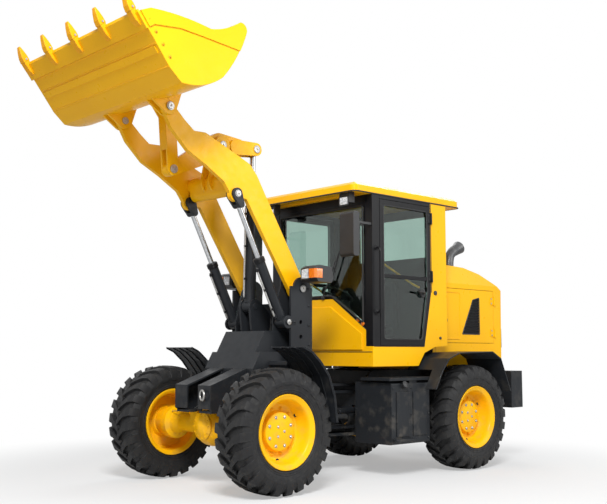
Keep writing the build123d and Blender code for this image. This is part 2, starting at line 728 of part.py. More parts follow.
# ---------------------------------------------------------------- tanks and counterweight
tank_outer = 950.0
with BuildPart() as side_tanks:
    for y_sign in (1, -1):
        tank_centre = (tank_outer + frame_side + fit) / 2
        with Locations((hinge_x - 459, y_sign * tank_centre, 675)):
            Box(628, tank_outer - frame_side - fit, 650)
    fillet(side_tanks.edges().filter_by(Axis.X), 25)
    for y_sign in (1, -1):
        with Locations((hinge_x - 500, y_sign * 760, 1035)):
            Box(800, 420, 30)
        with Locations((hinge_x - 500, y_sign * 760, 1010)):
            Box(120, 380, 40)
save(side_tanks.part, "side_tanks")

with BuildPart() as counterweight:
    block = from_hinge([(-2500 - fit, 640), (-2500 - fit, 1090), (-2740, 1090), (-2780, 1050),
                        (-2780, 700), (-2740, 640)])
    extrude(outline(side(850), block), amount=1700)
    fillet(counterweight.edges().filter_by(Axis.Z).sort_by(Axis.X)[:2], 60)
    with Locations((hinge_x - 2740, 0, 850)):
        Box(160, 140, 110, mode=Mode.SUBTRACT)
    with Locations((hinge_x - 2720, 0, 850)):
        Cylinder(16, 600, mode=Mode.SUBTRACT)
save(counterweight.part, "counterweight")

# ---------------------------------------------------------------- rear fenders
over_rear_axle = ((775, 924), (650, 1130), (534, 1254), (356, 1316), (-285, 1331), (-450, 1249),
                  (-634, 869))
rear_fender_line = from_hinge([(x - axle_reach, z) for x, z in over_rear_axle])
with BuildPart() as rear_fenders:
    for y_start in (fender_outer, -hood_half_width - fit):
        sheet = band(rear_fender_line[1:], at((-axle_reach, tyre_radius)), 12)
        extrude(outline(side(y_start), sheet), amount=fender_outer - hood_half_width - fit)
    flap_inner = tank_outer + 25
    for y_start in (fender_outer, -flap_inner):
        flap = band(rear_fender_line[:2], at((-axle_reach, tyre_radius)), 12)
        extrude(outline(side(y_start), flap), amount=fender_outer - flap_inner)
save(rear_fenders.part, "rear_fenders")

# ---------------------------------------------------------------- cab shell
wall_in = cab_half_width - cab_wall
post_in = cab_half_width - 100.0
hump_z = 1910.0
hump_half = 200.0
with BuildPart() as cab_shell:
    floor_points = [(hinge_x + cab_front, wall_in), (hinge_x - 780, wall_in),
                    (hinge_x - 780, hood_half_width), (hinge_x + cab_rear, hood_half_width)]
    floor_outline = floor_points + [(x, -y) for x, y in floor_points[::-1]]
    extrude(outline(Plane.XY.offset(cab_floor_z), floor_outline), amount=40)
    front_face = [(-cab_half_width, cab_floor_z), (cab_half_width, cab_floor_z),
                  (cab_half_width, sill_z), (post_in - fit, sill_z), (post_in - fit, 1560),
                  (hump_half, hump_z), (-hump_half, hump_z), (-post_in + fit, 1560),
                  (-post_in + fit, sill_z), (-cab_half_width, sill_z)]
    extrude(outline(Plane.YZ.offset(hinge_x + cab_front - cab_wall), front_face), amount=cab_wall)
    rear_corner = from_hinge([
        (cab_front, cab_floor_z), (cab_front, sill_z), (-890, sill_z), (door_rear, 2000),
        (door_rear, cab_top_z), (cab_rear, cab_top_z), (cab_rear, 1392), (-1080, 1380),
        (-890, 1315), (-780, cab_floor_z),
    ])
    for y in (cab_half_width, -wall_in):
        extrude(outline(side(y), rear_corner), amount=cab_wall)
    rear_half = [(hood_half_width, cab_floor_z), (hood_half_width, 1400), (wall_in, 1400),
                 (wall_in, cab_top_z)]
    rear_low = rear_half + [(-y, z) for y, z in rear_half[::-1]]
    rear_plane = Plane.YZ.offset(hinge_x + cab_rear)
    extrude(outline(rear_plane, rear_low), amount=cab_wall)
    window = [(-560, 2440), (560, 2440), (560, 2930), (-560, 2930)]
    extrude(outline(rear_plane, window), amount=cab_wall, mode=Mode.SUBTRACT)
save(cab_shell.part, "cab_shell")

# ---------------------------------------------------------------- cab frame and glass
frame_z = sill_z + fit
beam_low = door_top_z + gap
windscreen = [(post_in, 1575), (post_in, beam_low - 40), (-post_in, beam_low - 40),
              (-post_in, 1575), (-hump_half, hump_z + fit), (hump_half, hump_z + fit)]
screen_hole = [(post_in - 30, 1632), (post_in - 30, beam_low - 80), (-post_in + 30, beam_low - 80),
               (-post_in + 30, 1632), (-hump_half + 8, hump_z + 40), (hump_half - 8, hump_z + 40)]
with BuildPart() as cab_frame:
    for y_sign in (1, -1):
        post_height = cab_top_z - fit - frame_z
        with Locations((hinge_x + (cab_front + door_front) / 2 + 2, y_sign * (post_in + 50),
                        frame_z + post_height / 2)):
            Box(cab_front - door_front - 4, 100, post_height)
        beam_length = door_front - door_rear - fit
        with Locations((hinge_x + door_front - beam_length / 2, y_sign * (wall_in + 25),
                        (beam_low + cab_top_z - fit) / 2)):
            Box(beam_length, cab_wall, cab_top_z - fit - beam_low)
    with Locations((hinge_x + cab_front - 25, 0, (beam_low - 40 + cab_top_z - fit) / 2)):
        Box(50, 2 * post_in, cab_top_z - fit - beam_low + 40)
    screen_plane = Plane.YZ.offset(hinge_x + cab_front - 45)
    extrude(outline(screen_plane, windscreen), amount=40)
    extrude(outline(screen_plane, screen_hole), amount=40, mode=Mode.SUBTRACT)
save(cab_frame.part, "cab_frame")

with BuildPart() as cab_glass:
    with BuildSketch(Plane.YZ.offset(hinge_x + cab_front - 28)):
        with BuildLine():
            Polyline(*screen_hole, close=True)
        make_face()
        offset(amount=-fit, kind=Kind.INTERSECTION)
    extrude(amount=glass_thickness)
    with BuildSketch(Plane.YZ.offset(hinge_x + cab_rear + 22)):
        with BuildLine():
            Polyline(*window, close=True)
        make_face()
        offset(amount=-fit, kind=Kind.INTERSECTION)
    extrude(amount=glass_thickness)
save(cab_glass.part, "cab_glass")

# ---------------------------------------------------------------- roof
roof_front = 244.0
roof_rear = -1580.0
with BuildPart() as cab_roof:
    with Locations((hinge_x + (roof_front + roof_rear) / 2, 0, cab_top_z + 55)):
        Box(roof_front - roof_rear, 2 * cab_half_width, 110)
    fillet(cab_roof.edges().filter_by(Axis.Z), 70)
    chamfer(cab_roof.faces().sort_by(Axis.Z)[-1].edges(), 35, 60)
    with Locations((hinge_x + (cab_front + roof_front) / 2 + 10, 0, cab_top_z + 10)):
        Box(roof_front - cab_front - 60, 2 * cab_half_width - 120, 20, mode=Mode.SUBTRACT)
save(cab_roof.part, "cab_roof")


# ---------------------------------------------------------------- doors
divider_z = 2150.0


def make_door(y_sign):
    """Door frame, hinged at its rear edge, and its pane."""
    edge = from_hinge([
        (door_front - gap, sill_z + gap + 2), (door_front - gap, door_top_z),
        (door_rear + gap, door_top_z), (door_rear + gap, 2000 - 4), (-890 + gap + 2, sill_z + gap + 2),
    ])
    pane = from_hinge([
        (door_front - 60, sill_z + 75), (door_front - 60, door_top_z - 60),
        (door_rear + 60, door_top_z - 60), (door_rear + 60, 2006), (-850, sill_z + 75),
    ])
    outer = cab_half_width if y_sign > 0 else -cab_half_width + 36
    with BuildPart() as door:
        extrude(outline(side(outer), edge), amount=36)
        extrude(outline(side(outer), pane), amount=36, mode=Mode.SUBTRACT)
        rail_length = door_front - door_rear - 60
        with Locations((hinge_x + (door_front + door_rear) / 2, y_sign * (cab_half_width - 18),
                        divider_z)):
            Box(rail_length, 36, 40)
        for z in (2850, 2180):
            with Locations((hinge_x + door_rear - 2, y_sign * (cab_half_width + 14), z)):
                Cylinder(12, 130)
            with Locations((hinge_x + door_rear + 30, y_sign * (cab_half_width + 5), z)):
                Box(60, 10, 110)
    with BuildPart() as glass:
        with BuildSketch(side(outer - 15)):
            with BuildLine():
                Polyline(*pane, close=True)
            make_face()
            offset(amount=-fit, kind=Kind.INTERSECTION)
        extrude(amount=glass_thickness)
        with Locations((hinge_x + (door_front + door_rear) / 2, y_sign * (cab_half_width - 18),
                        divider_z)):
            Box(door_front - door_rear, 60, 40 + 2 * fit, mode=Mode.SUBTRACT)
    return door.part, glass.part


for side_name, y_sign in (("left", 1), ("right", -1)):
    door_part, glass_part = make_door(y_sign)
    save(door_part, f"door_{side_name}")
    save(glass_part, f"door_glass_{side_name}")

# ---------------------------------------------------------------- cab interior
with BuildPart() as seat:
    seat_x = hinge_x - 820
    with Locations((seat_x, 0, cab_floor_z + 40 + 150 + fit)):
        Box(340, 340, 300)
    with Locations((seat_x, 0, 1570)):
        Box(480, 500, 130)
    with BuildSketch(Plane.YZ.offset(seat_x - 300)):
        with Locations((0, 1880)):
            RectangleRounded(460, 640, 90)
    extrude(amount=110)
save(seat.part, "seat")

with BuildPart() as steering_console:
    column = from_hinge([(-120, cab_floor_z + 40 + fit), (-120, 1800), (-200, 1900), (-300, 1860),
                         (-260, 1700), (-260, cab_floor_z + 40 + fit)])
    extrude(outline(side(110), column), amount=220)
    wheel_plane = Plane(origin=(hinge_x - 300, 0, 1960), x_dir=(0, 1, 0), z_dir=(-0.5, 0, 0.866))
    extrude(disc(wheel_plane.offset(-110), (0, 0), 22), amount=115)
    extrude(disc(wheel_plane, (0, 0), 190), amount=26)
    extrude(disc(wheel_plane.offset(-1), (0, 0), 160), amount=28, mode=Mode.SUBTRACT)
    with BuildSketch(wheel_plane.offset(-2)):
        with PolarLocations(0, 3, 90):
            with Locations((85, 0)):
                Rectangle(170, 34)
        Circle(40)
    extrude(amount=22)
save(steering_console.part, "steering_console")

# ---------------------------------------------------------------- hood
hood_wall = 30.0
hood_bottom = frame_top_z + fit


def hood_body(inset):
    """Hood volume: its side profile cut to its section, moved in by a wall."""
    rise = from_hinge([
        (cab_rear - 6 - inset, hood_bottom), (cab_rear - 6 - inset, 2400 - inset), (-1730, 2387 - inset),
        (-2070, 2371 - inset), (-2330, 2300 - inset), (-2500, 2200 - inset),
        (hood_rear + inset, 2100 - inset), (hood_rear + 20 + inset, hood_bottom),
    ])
    across = [(hood_half_width - inset, hood_bottom), (hood_half_width - inset, 2150 - inset / 2),
              (450 - inset / 2, 2400 - inset)]
    section = across + [(-y, z) for y, z in across[::-1]]
    with BuildPart() as body:
        extrude(outline(side(700), rise), amount=1400)
        extrude(outline(Plane.YZ.offset(hinge_x - 3000), section), amount=3000,
                mode=Mode.INTERSECT)
    return body.part


hatch = [(-1370, 1430), (-1370, 2090), (-2480, 2090), (-2480, 1430)]
with BuildPart() as hood:
    add(hood_body(0))
    add(hood_body(hood_wall), mode=Mode.SUBTRACT)
    extrude(outline(side(700), from_hinge(hatch)), amount=1400, mode=Mode.SUBTRACT)
    with Locations((hinge_x - 2130, 200, 2350)):
        Cylinder(60 + fit, 300, mode=Mode.SUBTRACT)
    grille_hole = [(-450, 1200), (450, 1200), (450, 2000), (-450, 2000)]
    extrude(outline(Plane.YZ.offset(hinge_x - 2700), grille_hole), amount=150, mode=Mode.SUBTRACT)
save(hood.part, "hood")

with BuildPart() as rear_grille:
    grille_x = hinge_x + hood_rear + 12
    with Locations((grille_x + 12, 0, 1600)):
        Box(14, 900 - 2 * fit, 800 - 2 * fit)
    with Locations(Plane.YZ.offset(grille_x + 12)):
        with Locations((0, 1600)):
            with GridLocations(0, 84, 1, 9):
                Box(780, 46, 60, mode=Mode.SUBTRACT)
save(rear_grille.part, "rear_grille")

for side_name, y_sign in (("left", 1), ("right", -1)):
    outer = hood_half_width if y_sign > 0 else -hood_half_width + 25
    panel = from_hinge([(-1370 - gap, 1430 + gap), (-1370 - gap, 2090 - gap),
                        (-2480 + gap, 2090 - gap), (-2480 + gap, 1430 + gap)])
    vent = from_hinge([(-1830, 1540), (-2050, 1960), (-2180, 1990), (-2180, 1540)])
    with BuildPart() as engine_door:
        extrude(outline(side(outer), panel), amount=25)
        vent_start = hood_half_width if y_sign > 0 else -hood_half_width + 10
        extrude(outline(side(vent_start), vent), amount=10, mode=Mode.SUBTRACT)
        for z in (1560, 1960):
            with Locations((hinge_x - 2490, y_sign * (hood_half_width + 13), z)):
                Cylinder(12, 110)
            with Locations((hinge_x - 2450, y_sign * (hood_half_width + 4), z)):
                Box(80, 8, 90)
    save(engine_door.part, f"engine_door_{side_name}")

# ---------------------------------------------------------------- exhaust
with BuildPart() as exhaust:
    with BuildLine() as exhaust_path:
        Line((hinge_x - 2130, 200, 2250), (hinge_x - 2130, 200, 2500))
        ThreePointArc((hinge_x - 2130, 200, 2500), (hinge_x - 2165, 200, 2585),
                      (hinge_x - 2250, 200, 2620))
    with BuildSketch(Plane.XY.offset(2250)):
        with Locations((hinge_x - 2130, 200)):
            Circle(60)
    sweep(path=exhaust_path.line)
save(exhaust.part, "exhaust_stack")

# ---------------------------------------------------------------- lamps and mirrors
with BuildPart() as lamps:
    for y_sign in (1, -1):
        with Locations((hinge_x + 150, y_sign * (cab_half_width - 200), cab_top_z + 20 - 60 - fit)):
            Box(90, 140, 120)
        with Locations((hinge_x + hood_rear + 9.6 - 20, y_sign * 540, 1500)):
            Box(40, 110, 240)
save(lamps.part, "lamps")

with BuildPart() as mirrors:
    for y_sign in (1, -1):
        with Locations((hinge_x + 300, y_sign * 780, 2560)):
            Box(90, 200, 470)
    fillet(mirrors.edges().filter_by(Axis.Y), 30)
    for y_sign in (1, -1):
        with Locations((hinge_x + 255, y_sign * 780, 2700)):
            Box(60, 24, 24)
        arm_start = cab_front + fit
        with Locations((hinge_x + (arm_start + 255) / 2, y_sign * 780, 2700)):
            Box(255 - arm_start, 24, 24)
save(mirrors.part, "mirrors")

# ---------------------------------------------------------------- grab rails
rail_x = hinge_x - 90
rail_y = cab_half_width + 62
with BuildPart() as grab_rails:
    for y_sign in (1, -1):
        foot_y = y_sign * (cab_half_width + fit)
        with BuildLine() as rail_path:
            FilletPolyline((rail_x, foot_y, 1745), (rail_x, y_sign * rail_y, 1745),
                           (rail_x, y_sign * rail_y, 2445), (rail_x, foot_y, 2445), radius=45)
        with BuildSketch(Plane(origin=(rail_x, foot_y, 1745), z_dir=(0, y_sign, 0))):
            Circle(13)
        sweep(path=rail_path.line)
save(grab_rails.part, "grab_rails")

# ---------------------------------------------------------------- tower hoses
hose_radius = 11.0
hose_end_y = tower_inner - 38.0
hose_rows = (
    # start x, start y, rise, end x, end y: from the lid up, over and down to it again
    (700, 140, 210, 700, hose_end_y), (760, 130, 250, 780, hose_end_y),
    (840, 145, 170, 860, hose_end_y),
)
with BuildPart() as tower_hoses:
    for start_x, start_y, rise, end_x, end_y in hose_rows:
        for y_sign in (1, -1):
            foot = (hinge_x + start_x, y_sign * start_y, shelf_z + fit)
            end = (hinge_x + end_x, y_sign * end_y, shelf_z + fit)
            with BuildLine() as hose_path:
                FilletPolyline(foot, (foot[0], foot[1], shelf_z + rise),
                               (end[0], end[1], shelf_z + rise), end, radius=55)
            with BuildSketch(Plane(origin=foot, z_dir=(0, 0, 1))):
                Circle(hose_radius)
            sweep(path=hose_path.line)
            for x, y, z in (foot, end):
                with Locations((x, y, z + 18)):
                    Cylinder(17, 36)
save(tower_hoses.part, "tower_hoses")
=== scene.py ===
"""Looks of a compact articulated wheel loader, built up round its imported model.

Metres. +X forward, +Y left, +Z up, with the ground at z = 0.
"""

import json
import math

import bpy
import numpy as np
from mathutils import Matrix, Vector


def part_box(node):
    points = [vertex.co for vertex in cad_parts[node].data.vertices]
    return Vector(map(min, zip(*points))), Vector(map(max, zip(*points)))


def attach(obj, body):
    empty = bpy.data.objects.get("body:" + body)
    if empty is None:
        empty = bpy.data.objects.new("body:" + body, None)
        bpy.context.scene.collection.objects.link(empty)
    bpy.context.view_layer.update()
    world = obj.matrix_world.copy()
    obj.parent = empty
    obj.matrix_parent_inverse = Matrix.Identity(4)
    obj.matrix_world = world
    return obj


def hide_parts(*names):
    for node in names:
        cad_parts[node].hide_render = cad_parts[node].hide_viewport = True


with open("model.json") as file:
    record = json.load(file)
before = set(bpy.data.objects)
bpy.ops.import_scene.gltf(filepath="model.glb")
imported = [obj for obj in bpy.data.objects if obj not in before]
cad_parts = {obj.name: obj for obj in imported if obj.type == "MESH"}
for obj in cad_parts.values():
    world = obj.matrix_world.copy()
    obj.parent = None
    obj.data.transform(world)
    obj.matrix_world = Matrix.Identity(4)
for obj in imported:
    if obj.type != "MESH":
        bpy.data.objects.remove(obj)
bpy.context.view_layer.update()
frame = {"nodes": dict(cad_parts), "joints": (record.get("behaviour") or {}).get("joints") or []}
nodes = frame["nodes"]
joints = {joint["name"]: joint for joint in frame["joints"]}

# ---------------------------------------------------------------- studio
# A pale floor that fades to white, under one large soft lamp ahead of the
# machine, weaker lamps beside and behind it and an even sky. The long-lens
# camera stands low, off the machine's left front corner.
camera = bpy.data.objects.new("camera", bpy.data.cameras.new("camera"))
camera.data.lens = 54.2
camera.data.sensor_width = 36.0
camera.location = (6.975, 7.401, 1.33)
camera.rotation_euler = (math.radians(96.21), 0.0, math.radians(136.73))
bpy.context.scene.collection.objects.link(camera)
bpy.context.scene.camera = camera
bpy.context.scene.view_settings.view_transform = "Standard"


def soft_lamp(name, place, aim, size, power):
    """Square area lamp at place, turned to face aim."""
    lamp = bpy.data.lights.new(name, "AREA")
    lamp.size = size
    lamp.energy = power
    holder = bpy.data.objects.new(name, lamp)
    holder.location = place
    towards_aim = Vector(aim) - Vector(place)
    holder.rotation_euler = towards_aim.to_track_quat("-Z", "Y").to_euler()
    bpy.context.scene.collection.objects.link(holder)


low_aim = (0.0, 0.0, 1.6)
high_aim = (0.0, 0.0, 1.8)
soft_lamp("key_lamp", (6.5, 7.0, 8.5), low_aim, 3.0, 1500.0)
soft_lamp("side_lamp", (-5.0, 9.0, 5.0), low_aim, 4.0, 260.0)
soft_lamp("back_lamp", (-7.0, -4.0, 8.0), high_aim, 4.0, 200.0)


def wire(tree, *pairs):
    """Link each output to the input it is paired with."""
    for output, socket in pairs:
        tree.links.new(output, socket)


def white_behind(tree, shaded, strength):
    """White to the camera, in reflections and through glass; the given shader to other rays."""
    rays = tree.nodes.new("ShaderNodeLightPath")
    seen = tree.nodes.new("ShaderNodeMath")
    seen.operation = "MAXIMUM"
    any_of = tree.nodes.new("ShaderNodeMath")
    any_of.operation = "MAXIMUM"
    glow = tree.nodes.new("ShaderNodeBackground")
    glow.inputs["Color"].default_value = (1.0, 1.0, 1.0, 1.0)
    glow.inputs["Strength"].default_value = strength
    mix = tree.nodes.new("ShaderNodeMixShader")
    wire(tree, (rays.outputs["Is Camera Ray"], seen.inputs[0]),
         (rays.outputs["Is Glossy Ray"], seen.inputs[1]),
         (seen.outputs[0], any_of.inputs[0]),
         (rays.outputs["Is Transmission Ray"], any_of.inputs[1]),
         (any_of.outputs[0], mix.inputs["Fac"]),
         (shaded.outputs[0], mix.inputs[1]),
         (glow.outputs[0], mix.inputs[2]))
    return mix


sky = bpy.data.worlds.new("sky")
sky.use_nodes = True
sky_light = sky.node_tree.nodes["Background"]
sky_light.inputs["Color"].default_value = (0.94, 0.97, 1.0, 1.0)
sky_light.inputs["Strength"].default_value = 0.42
sky_mix = white_behind(sky.node_tree, sky_light, 1.0)
sky.node_tree.links.new(sky_mix.outputs[0], sky.node_tree.nodes["World Output"].inputs["Surface"])
bpy.context.scene.world = sky

floor_mesh = bpy.data.meshes.new("studio_floor")
floor_reach = 60.0
floor_mesh.from_pydata(
    [(-floor_reach, -floor_reach, 0.0), (floor_reach, -floor_reach, 0.0),
     (floor_reach, floor_reach, 0.0), (-floor_reach, floor_reach, 0.0)], [], [(0, 1, 2, 3)])
floor = bpy.data.objects.new("studio_floor", floor_mesh)
bpy.context.scene.collection.objects.link(floor)
floor_look = bpy.data.materials.new("pale_floor")
floor_look.use_nodes = True
floor_shader = floor_look.node_tree.nodes["Principled BSDF"]
floor_shader.inputs["Base Color"].default_value = (0.70, 0.70, 0.70, 1.0)
floor_shader.inputs["Roughness"].default_value = 0.9
floor_shader.inputs["Specular IOR Level"].default_value = 0.1
floor_tree = floor_look.node_tree
floor_place = floor_tree.nodes.new("ShaderNodeTexCoord")
floor_away = floor_tree.nodes.new("ShaderNodeVectorMath")
floor_away.operation = "LENGTH"
floor_fade = floor_tree.nodes.new("ShaderNodeMapRange")
floor_fade.interpolation_type = "SMOOTHSTEP"
floor_fade.inputs["From Min"].default_value = 2.6
floor_fade.inputs["From Max"].default_value = 5.5
floor_fade.inputs["To Min"].default_value = 0.38
floor_rays = floor_tree.nodes.new("ShaderNodeLightPath")
floor_share = floor_tree.nodes.new("ShaderNodeMath")
floor_share.operation = "MULTIPLY"
floor_white = floor_tree.nodes.new("ShaderNodeEmission")
floor_mix = floor_tree.nodes.new("ShaderNodeMixShader")
wire(floor_tree, (floor_place.outputs["Object"], floor_away.inputs[0]),
     (floor_away.outputs["Value"], floor_fade.inputs["Value"]),
     (floor_fade.outputs["Result"], floor_share.inputs[0]),
     (floor_rays.outputs["Is Camera Ray"], floor_share.inputs[1]),
     (floor_share.outputs[0], floor_mix.inputs["Fac"]),
     (floor_shader.outputs[0], floor_mix.inputs[1]),
     (floor_white.outputs[0], floor_mix.inputs[2]),
     (floor_mix.outputs[0], floor_tree.nodes["Material Output"].inputs["Surface"]))
floor_mesh.materials.append(floor_look)

# ---------------------------------------------------------------- rims
# Pressed steel wheels welded from a rolled rim and a dished disc, sprayed
# machinery yellow. Twelve nuts hold each to its hub, whose cap is bolted on,
# and a steel valve stands in the dish between three hand holes. The hand
# holes are dark discs on the dish, painted shade standing for their insides.


def surface(name, roughness, metallic=0.0, **sockets):
    """New material with its shader's plain sockets set; gives the material, its tree and shader."""
    material = bpy.data.materials.new(name)
    material.use_nodes = True
    shader = material.node_tree.nodes["Principled BSDF"]
    shader.inputs["Metallic"].default_value = metallic
    shader.inputs["Roughness"].default_value = roughness
    for socket, value in sockets.items():
        shader.inputs[socket.replace("_", " ")].default_value = value
    return material, material.node_tree, shader


def ramp(tree, value, start, end, low=0.0, high=1.0):
    """Runs straight from low to high as the value goes from start to end, and stays there."""
    spread = tree.nodes.new("ShaderNodeMapRange")
    for socket, number in (("From Min", start), ("From Max", end), ("To Min", low), ("To Max", high)):
        spread.inputs[socket].default_value = number
    tree.links.new(value, spread.inputs["Value"])
    return spread.outputs["Result"]


def mottle(tree, scale, low, high, detail=4.0, stretch=(1.0, 1.0, 1.0)):
    """Noise over the object's own coordinates, drawn out to run from low to high."""
    place = tree.nodes.new("ShaderNodeTexCoord")
    turn = tree.nodes.new("ShaderNodeMapping")
    turn.inputs["Scale"].default_value = stretch
    noise = tree.nodes.new("ShaderNodeTexNoise")
    noise.inputs["Scale"].default_value = scale
    noise.inputs["Detail"].default_value = detail
    wire(tree, (place.outputs["Object"], turn.inputs["Vector"]),
         (turn.outputs["Vector"], noise.inputs["Vector"]))
    return ramp(tree, noise.outputs["Fac"], 0.3, 0.7, low, high)


def between(tree, share, first, second):
    """Colour that runs from first to second with the share; either may be a socket."""
    mix = tree.nodes.new("ShaderNodeMix")
    mix.data_type = "RGBA"
    tree.links.new(share, mix.inputs["Factor"])
    for socket, colour in ((mix.inputs[6], first), (mix.inputs[7], second)):
        if isinstance(colour, tuple):
            socket.default_value = (*colour, 1.0)
        else:
            tree.links.new(colour, socket)
    return mix.outputs[2]


def tint(tree, shader, scale, first, second, detail=4.0):
    """Colour the shader with a drift between two tones."""
    tree.links.new(between(tree, mottle(tree, scale, 0.0, 1.0, detail), first, second),
                   shader.inputs["Base Color"])


def rounded_edges(tree, radius):
    """Normal softened at edges, and how far it turns there: 0 on flats, 1 on corners."""
    round_off = tree.nodes.new("ShaderNodeBevel")
    round_off.samples = 4
    round_off.inputs["Radius"].default_value = radius
    flat = tree.nodes.new("ShaderNodeNewGeometry")
    agree = tree.nodes.new("ShaderNodeVectorMath")
    agree.operation = "DOT_PRODUCT"
    wire(tree, (round_off.outputs["Normal"], agree.inputs[0]),
         (flat.outputs["Normal"], agree.inputs[1]))
    return round_off.outputs["Normal"], ramp(tree, agree.outputs["Value"], 0.985, 0.86)


def relief(tree, shader, height, strength, distance, normal=None):
    """Bump from a height, on top of a normal if one is given."""
    bump = tree.nodes.new("ShaderNodeBump")
    bump.inputs["Strength"].default_value = strength
    bump.inputs["Distance"].default_value = distance
    tree.links.new(height, bump.inputs["Height"])
    if normal is not None:
        tree.links.new(normal, bump.inputs["Normal"])
    tree.links.new(bump.outputs["Normal"], shader.inputs["Normal"])


def times(tree, first, second):
    """Product of two sockets, held between 0 and 1."""
    product = tree.nodes.new("ShaderNodeMath")
    product.operation = "MULTIPLY"
    product.use_clamp = True
    wire(tree, (first, product.inputs[0]), (second, product.inputs[1]))
    return product.outputs[0]


def low_down(tree, top, bottom):
    """Share that rises from 0 at one height to 1 at a lower one, as splashed dust does."""
    place = tree.nodes.new("ShaderNodeTexCoord")
    split = tree.nodes.new("ShaderNodeSeparateXYZ")
    tree.links.new(place.outputs["Object"], split.inputs[0])
    return ramp(tree, split.outputs["Z"], top, bottom)


dust_tone = (0.20, 0.175, 0.14)
dust_top = 1.3
dust_bottom = 0.2


def enamel(name, colour, shade, worn, roughness):
    """Sprayed enamel: colour drifts to a shade, edges rub to a worn tone, dust lies low down."""
    material, tree, shader = surface(name, roughness, Specular_IOR_Level=0.2)
    drift = between(tree, mottle(tree, 1.7, 0.0, 1.0), colour, shade)
    normal, turned = rounded_edges(tree, 0.005)
    rubbed = times(tree, turned, mottle(tree, 26.0, -0.55, 0.75, detail=6.0))
    edged = between(tree, rubbed, drift, worn)
    splash = times(tree, low_down(tree, dust_top, dust_bottom),
                   mottle(tree, 9.0, -0.35, 0.30, detail=8.0))
    dusted = between(tree, splash, edged, dust_tone)
    sheen = mottle(tree, 14.0, roughness - 0.06, roughness + 0.10)
    wire(tree, (dusted, shader.inputs["Base Color"]), (sheen, shader.inputs["Roughness"]))
    relief(tree, shader, mottle(tree, 420.0, 0.0, 1.0, detail=2.0), 0.05, 0.001, normal)
    return material


def finish_node(name, material):
    """Give a carried-over node its finish."""
    nodes[name].data.materials.clear()
    nodes[name].data.materials.append(material)


def lattice(points, wrap_u=False, wrap_v=False):
    """Quads over a grid of points (u, v, 3); a wrapped direction joins its end to its start."""
    count_u, count_v = points.shape[:2]
    u = np.arange(count_u if wrap_u else count_u - 1)
    v = np.arange(count_v if wrap_v else count_v - 1)
    u, v = np.meshgrid(u, v, indexing="ij")
    next_u = (u + 1) % count_u
    next_v = (v + 1) % count_v
    quads = np.stack([u * count_v + v, next_u * count_v + v, next_u * count_v + next_v,
                      u * count_v + next_v], -1).reshape(-1, 4)
    return points.reshape(-1, 3), [tuple(quad) for quad in quads.tolist()]


def capped(rings):
    """Closed skin over rings of points (ring, around, 3), with a flat face over each end."""
    points, faces = lattice(rings, wrap_v=True)
    around = rings.shape[1]
    faces.append(tuple(range(around)))
    faces.append(tuple(range(len(points) - 1, len(points) - 1 - around, -1)))
    return points, faces


def basis(axis):
    """Two directions square to an axis, so that with it they make a right-handed set."""
    axis = np.asarray(axis, float) / np.linalg.norm(axis)
    helper = np.array([0.0, 0.0, 1.0]) if abs(axis[2]) < 0.9 else np.array([1.0, 0.0, 0.0])
    first = np.cross(helper, axis)
    first /= np.linalg.norm(first)
    return first, np.cross(axis, first), axis


def lathe(centre, axis, profile, sides=32):
    """Solid of revolution: rows of (along the axis, radius) turned about it, ends closed."""
    first, second, axis = basis(axis)
    turn = np.linspace(0, 2 * np.pi, sides, endpoint=False)
    circle = np.cos(turn)[:, None] * first + np.sin(turn)[:, None] * second
    profile = np.asarray(profile, float)
    rings = (np.asarray(centre, float) + profile[:, :1, None] * axis
             + profile[:, 1:2, None] * circle[None])
    return capped(rings[:, ::-1])


def add_piece(name, shapes, body, material, smooth=True, bevel=0.0, replaces=()):
    """Join (points, faces) shapes into one piece that rides on a body."""
    points, faces, first = [], [], 0
    for shape_points, shape_faces in shapes:
        points.append(shape_points)
        faces += [tuple(index + first for index in face) for face in shape_faces]
        first += len(shape_points)
    mesh = bpy.data.meshes.new(name)
    mesh.from_pydata(np.concatenate(points).tolist(), [], faces)
    mesh.polygons.foreach_set("use_smooth", [smooth] * len(mesh.polygons))
    mesh.materials.append(material)
    if smooth:
        mesh.set_sharp_from_angle(angle=math.radians(35))
    mesh.update()
    piece = bpy.data.objects.new(name, mesh)
    bpy.context.scene.collection.objects.link(piece)
    if bevel:
        soften = piece.modifiers.new("soften", "BEVEL")
        soften.width = bevel
        soften.segments = 2
        soften.limit_method = "ANGLE"
        soften.angle_limit = math.radians(35)
    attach(piece, body)
    if replaces:
        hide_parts(*replaces)
    return piece


hinge = joints["steer"]["pos_m"][0]


def spot(forward, across, height):
    """Place given forward of the steering hinge, to the left and up."""
    return np.array([hinge + forward, across, height])


def bolt(foot, axis, radius):
    """Hexagon bolt head on its washer, with the thread's end standing out of it."""
    washer = lathe(foot, axis, [(-0.003, radius * 1.5), (0.003, radius * 1.5)], 16)
    head = lathe(foot, axis, [(0.0, radius), (radius * 0.8, radius), (radius, radius * 0.8)], 6)
    thread = lathe(foot, axis, [(0.0, radius * 0.5), (radius * 1.5, radius * 0.45)], 10)
    return [washer, head, thread]


plated_steel, tree, shader = surface("plated_steel", 0.35, metallic=0.85)
tint(tree, shader, 60.0, (0.34, 0.34, 0.33), (0.50, 0.49, 0.47))
tree.links.new(mottle(tree, 90.0, 0.28, 0.5), shader.inputs["Roughness"])
rim_yellow = enamel("rim_enamel", (0.92, 0.490, 0.003), (0.86, 0.430, 0.003), (0.50, 0.26, 0.02), 0.34)
# Near black: the dark of panel seams, and painted shade for the hand holes and for the openings behind the
# grille and vents.
dark_recess, tree, shader = surface("dark_recess", 0.8)
tint(tree, shader, 30.0, (0.004, 0.004, 0.004), (0.012, 0.011, 0.010))

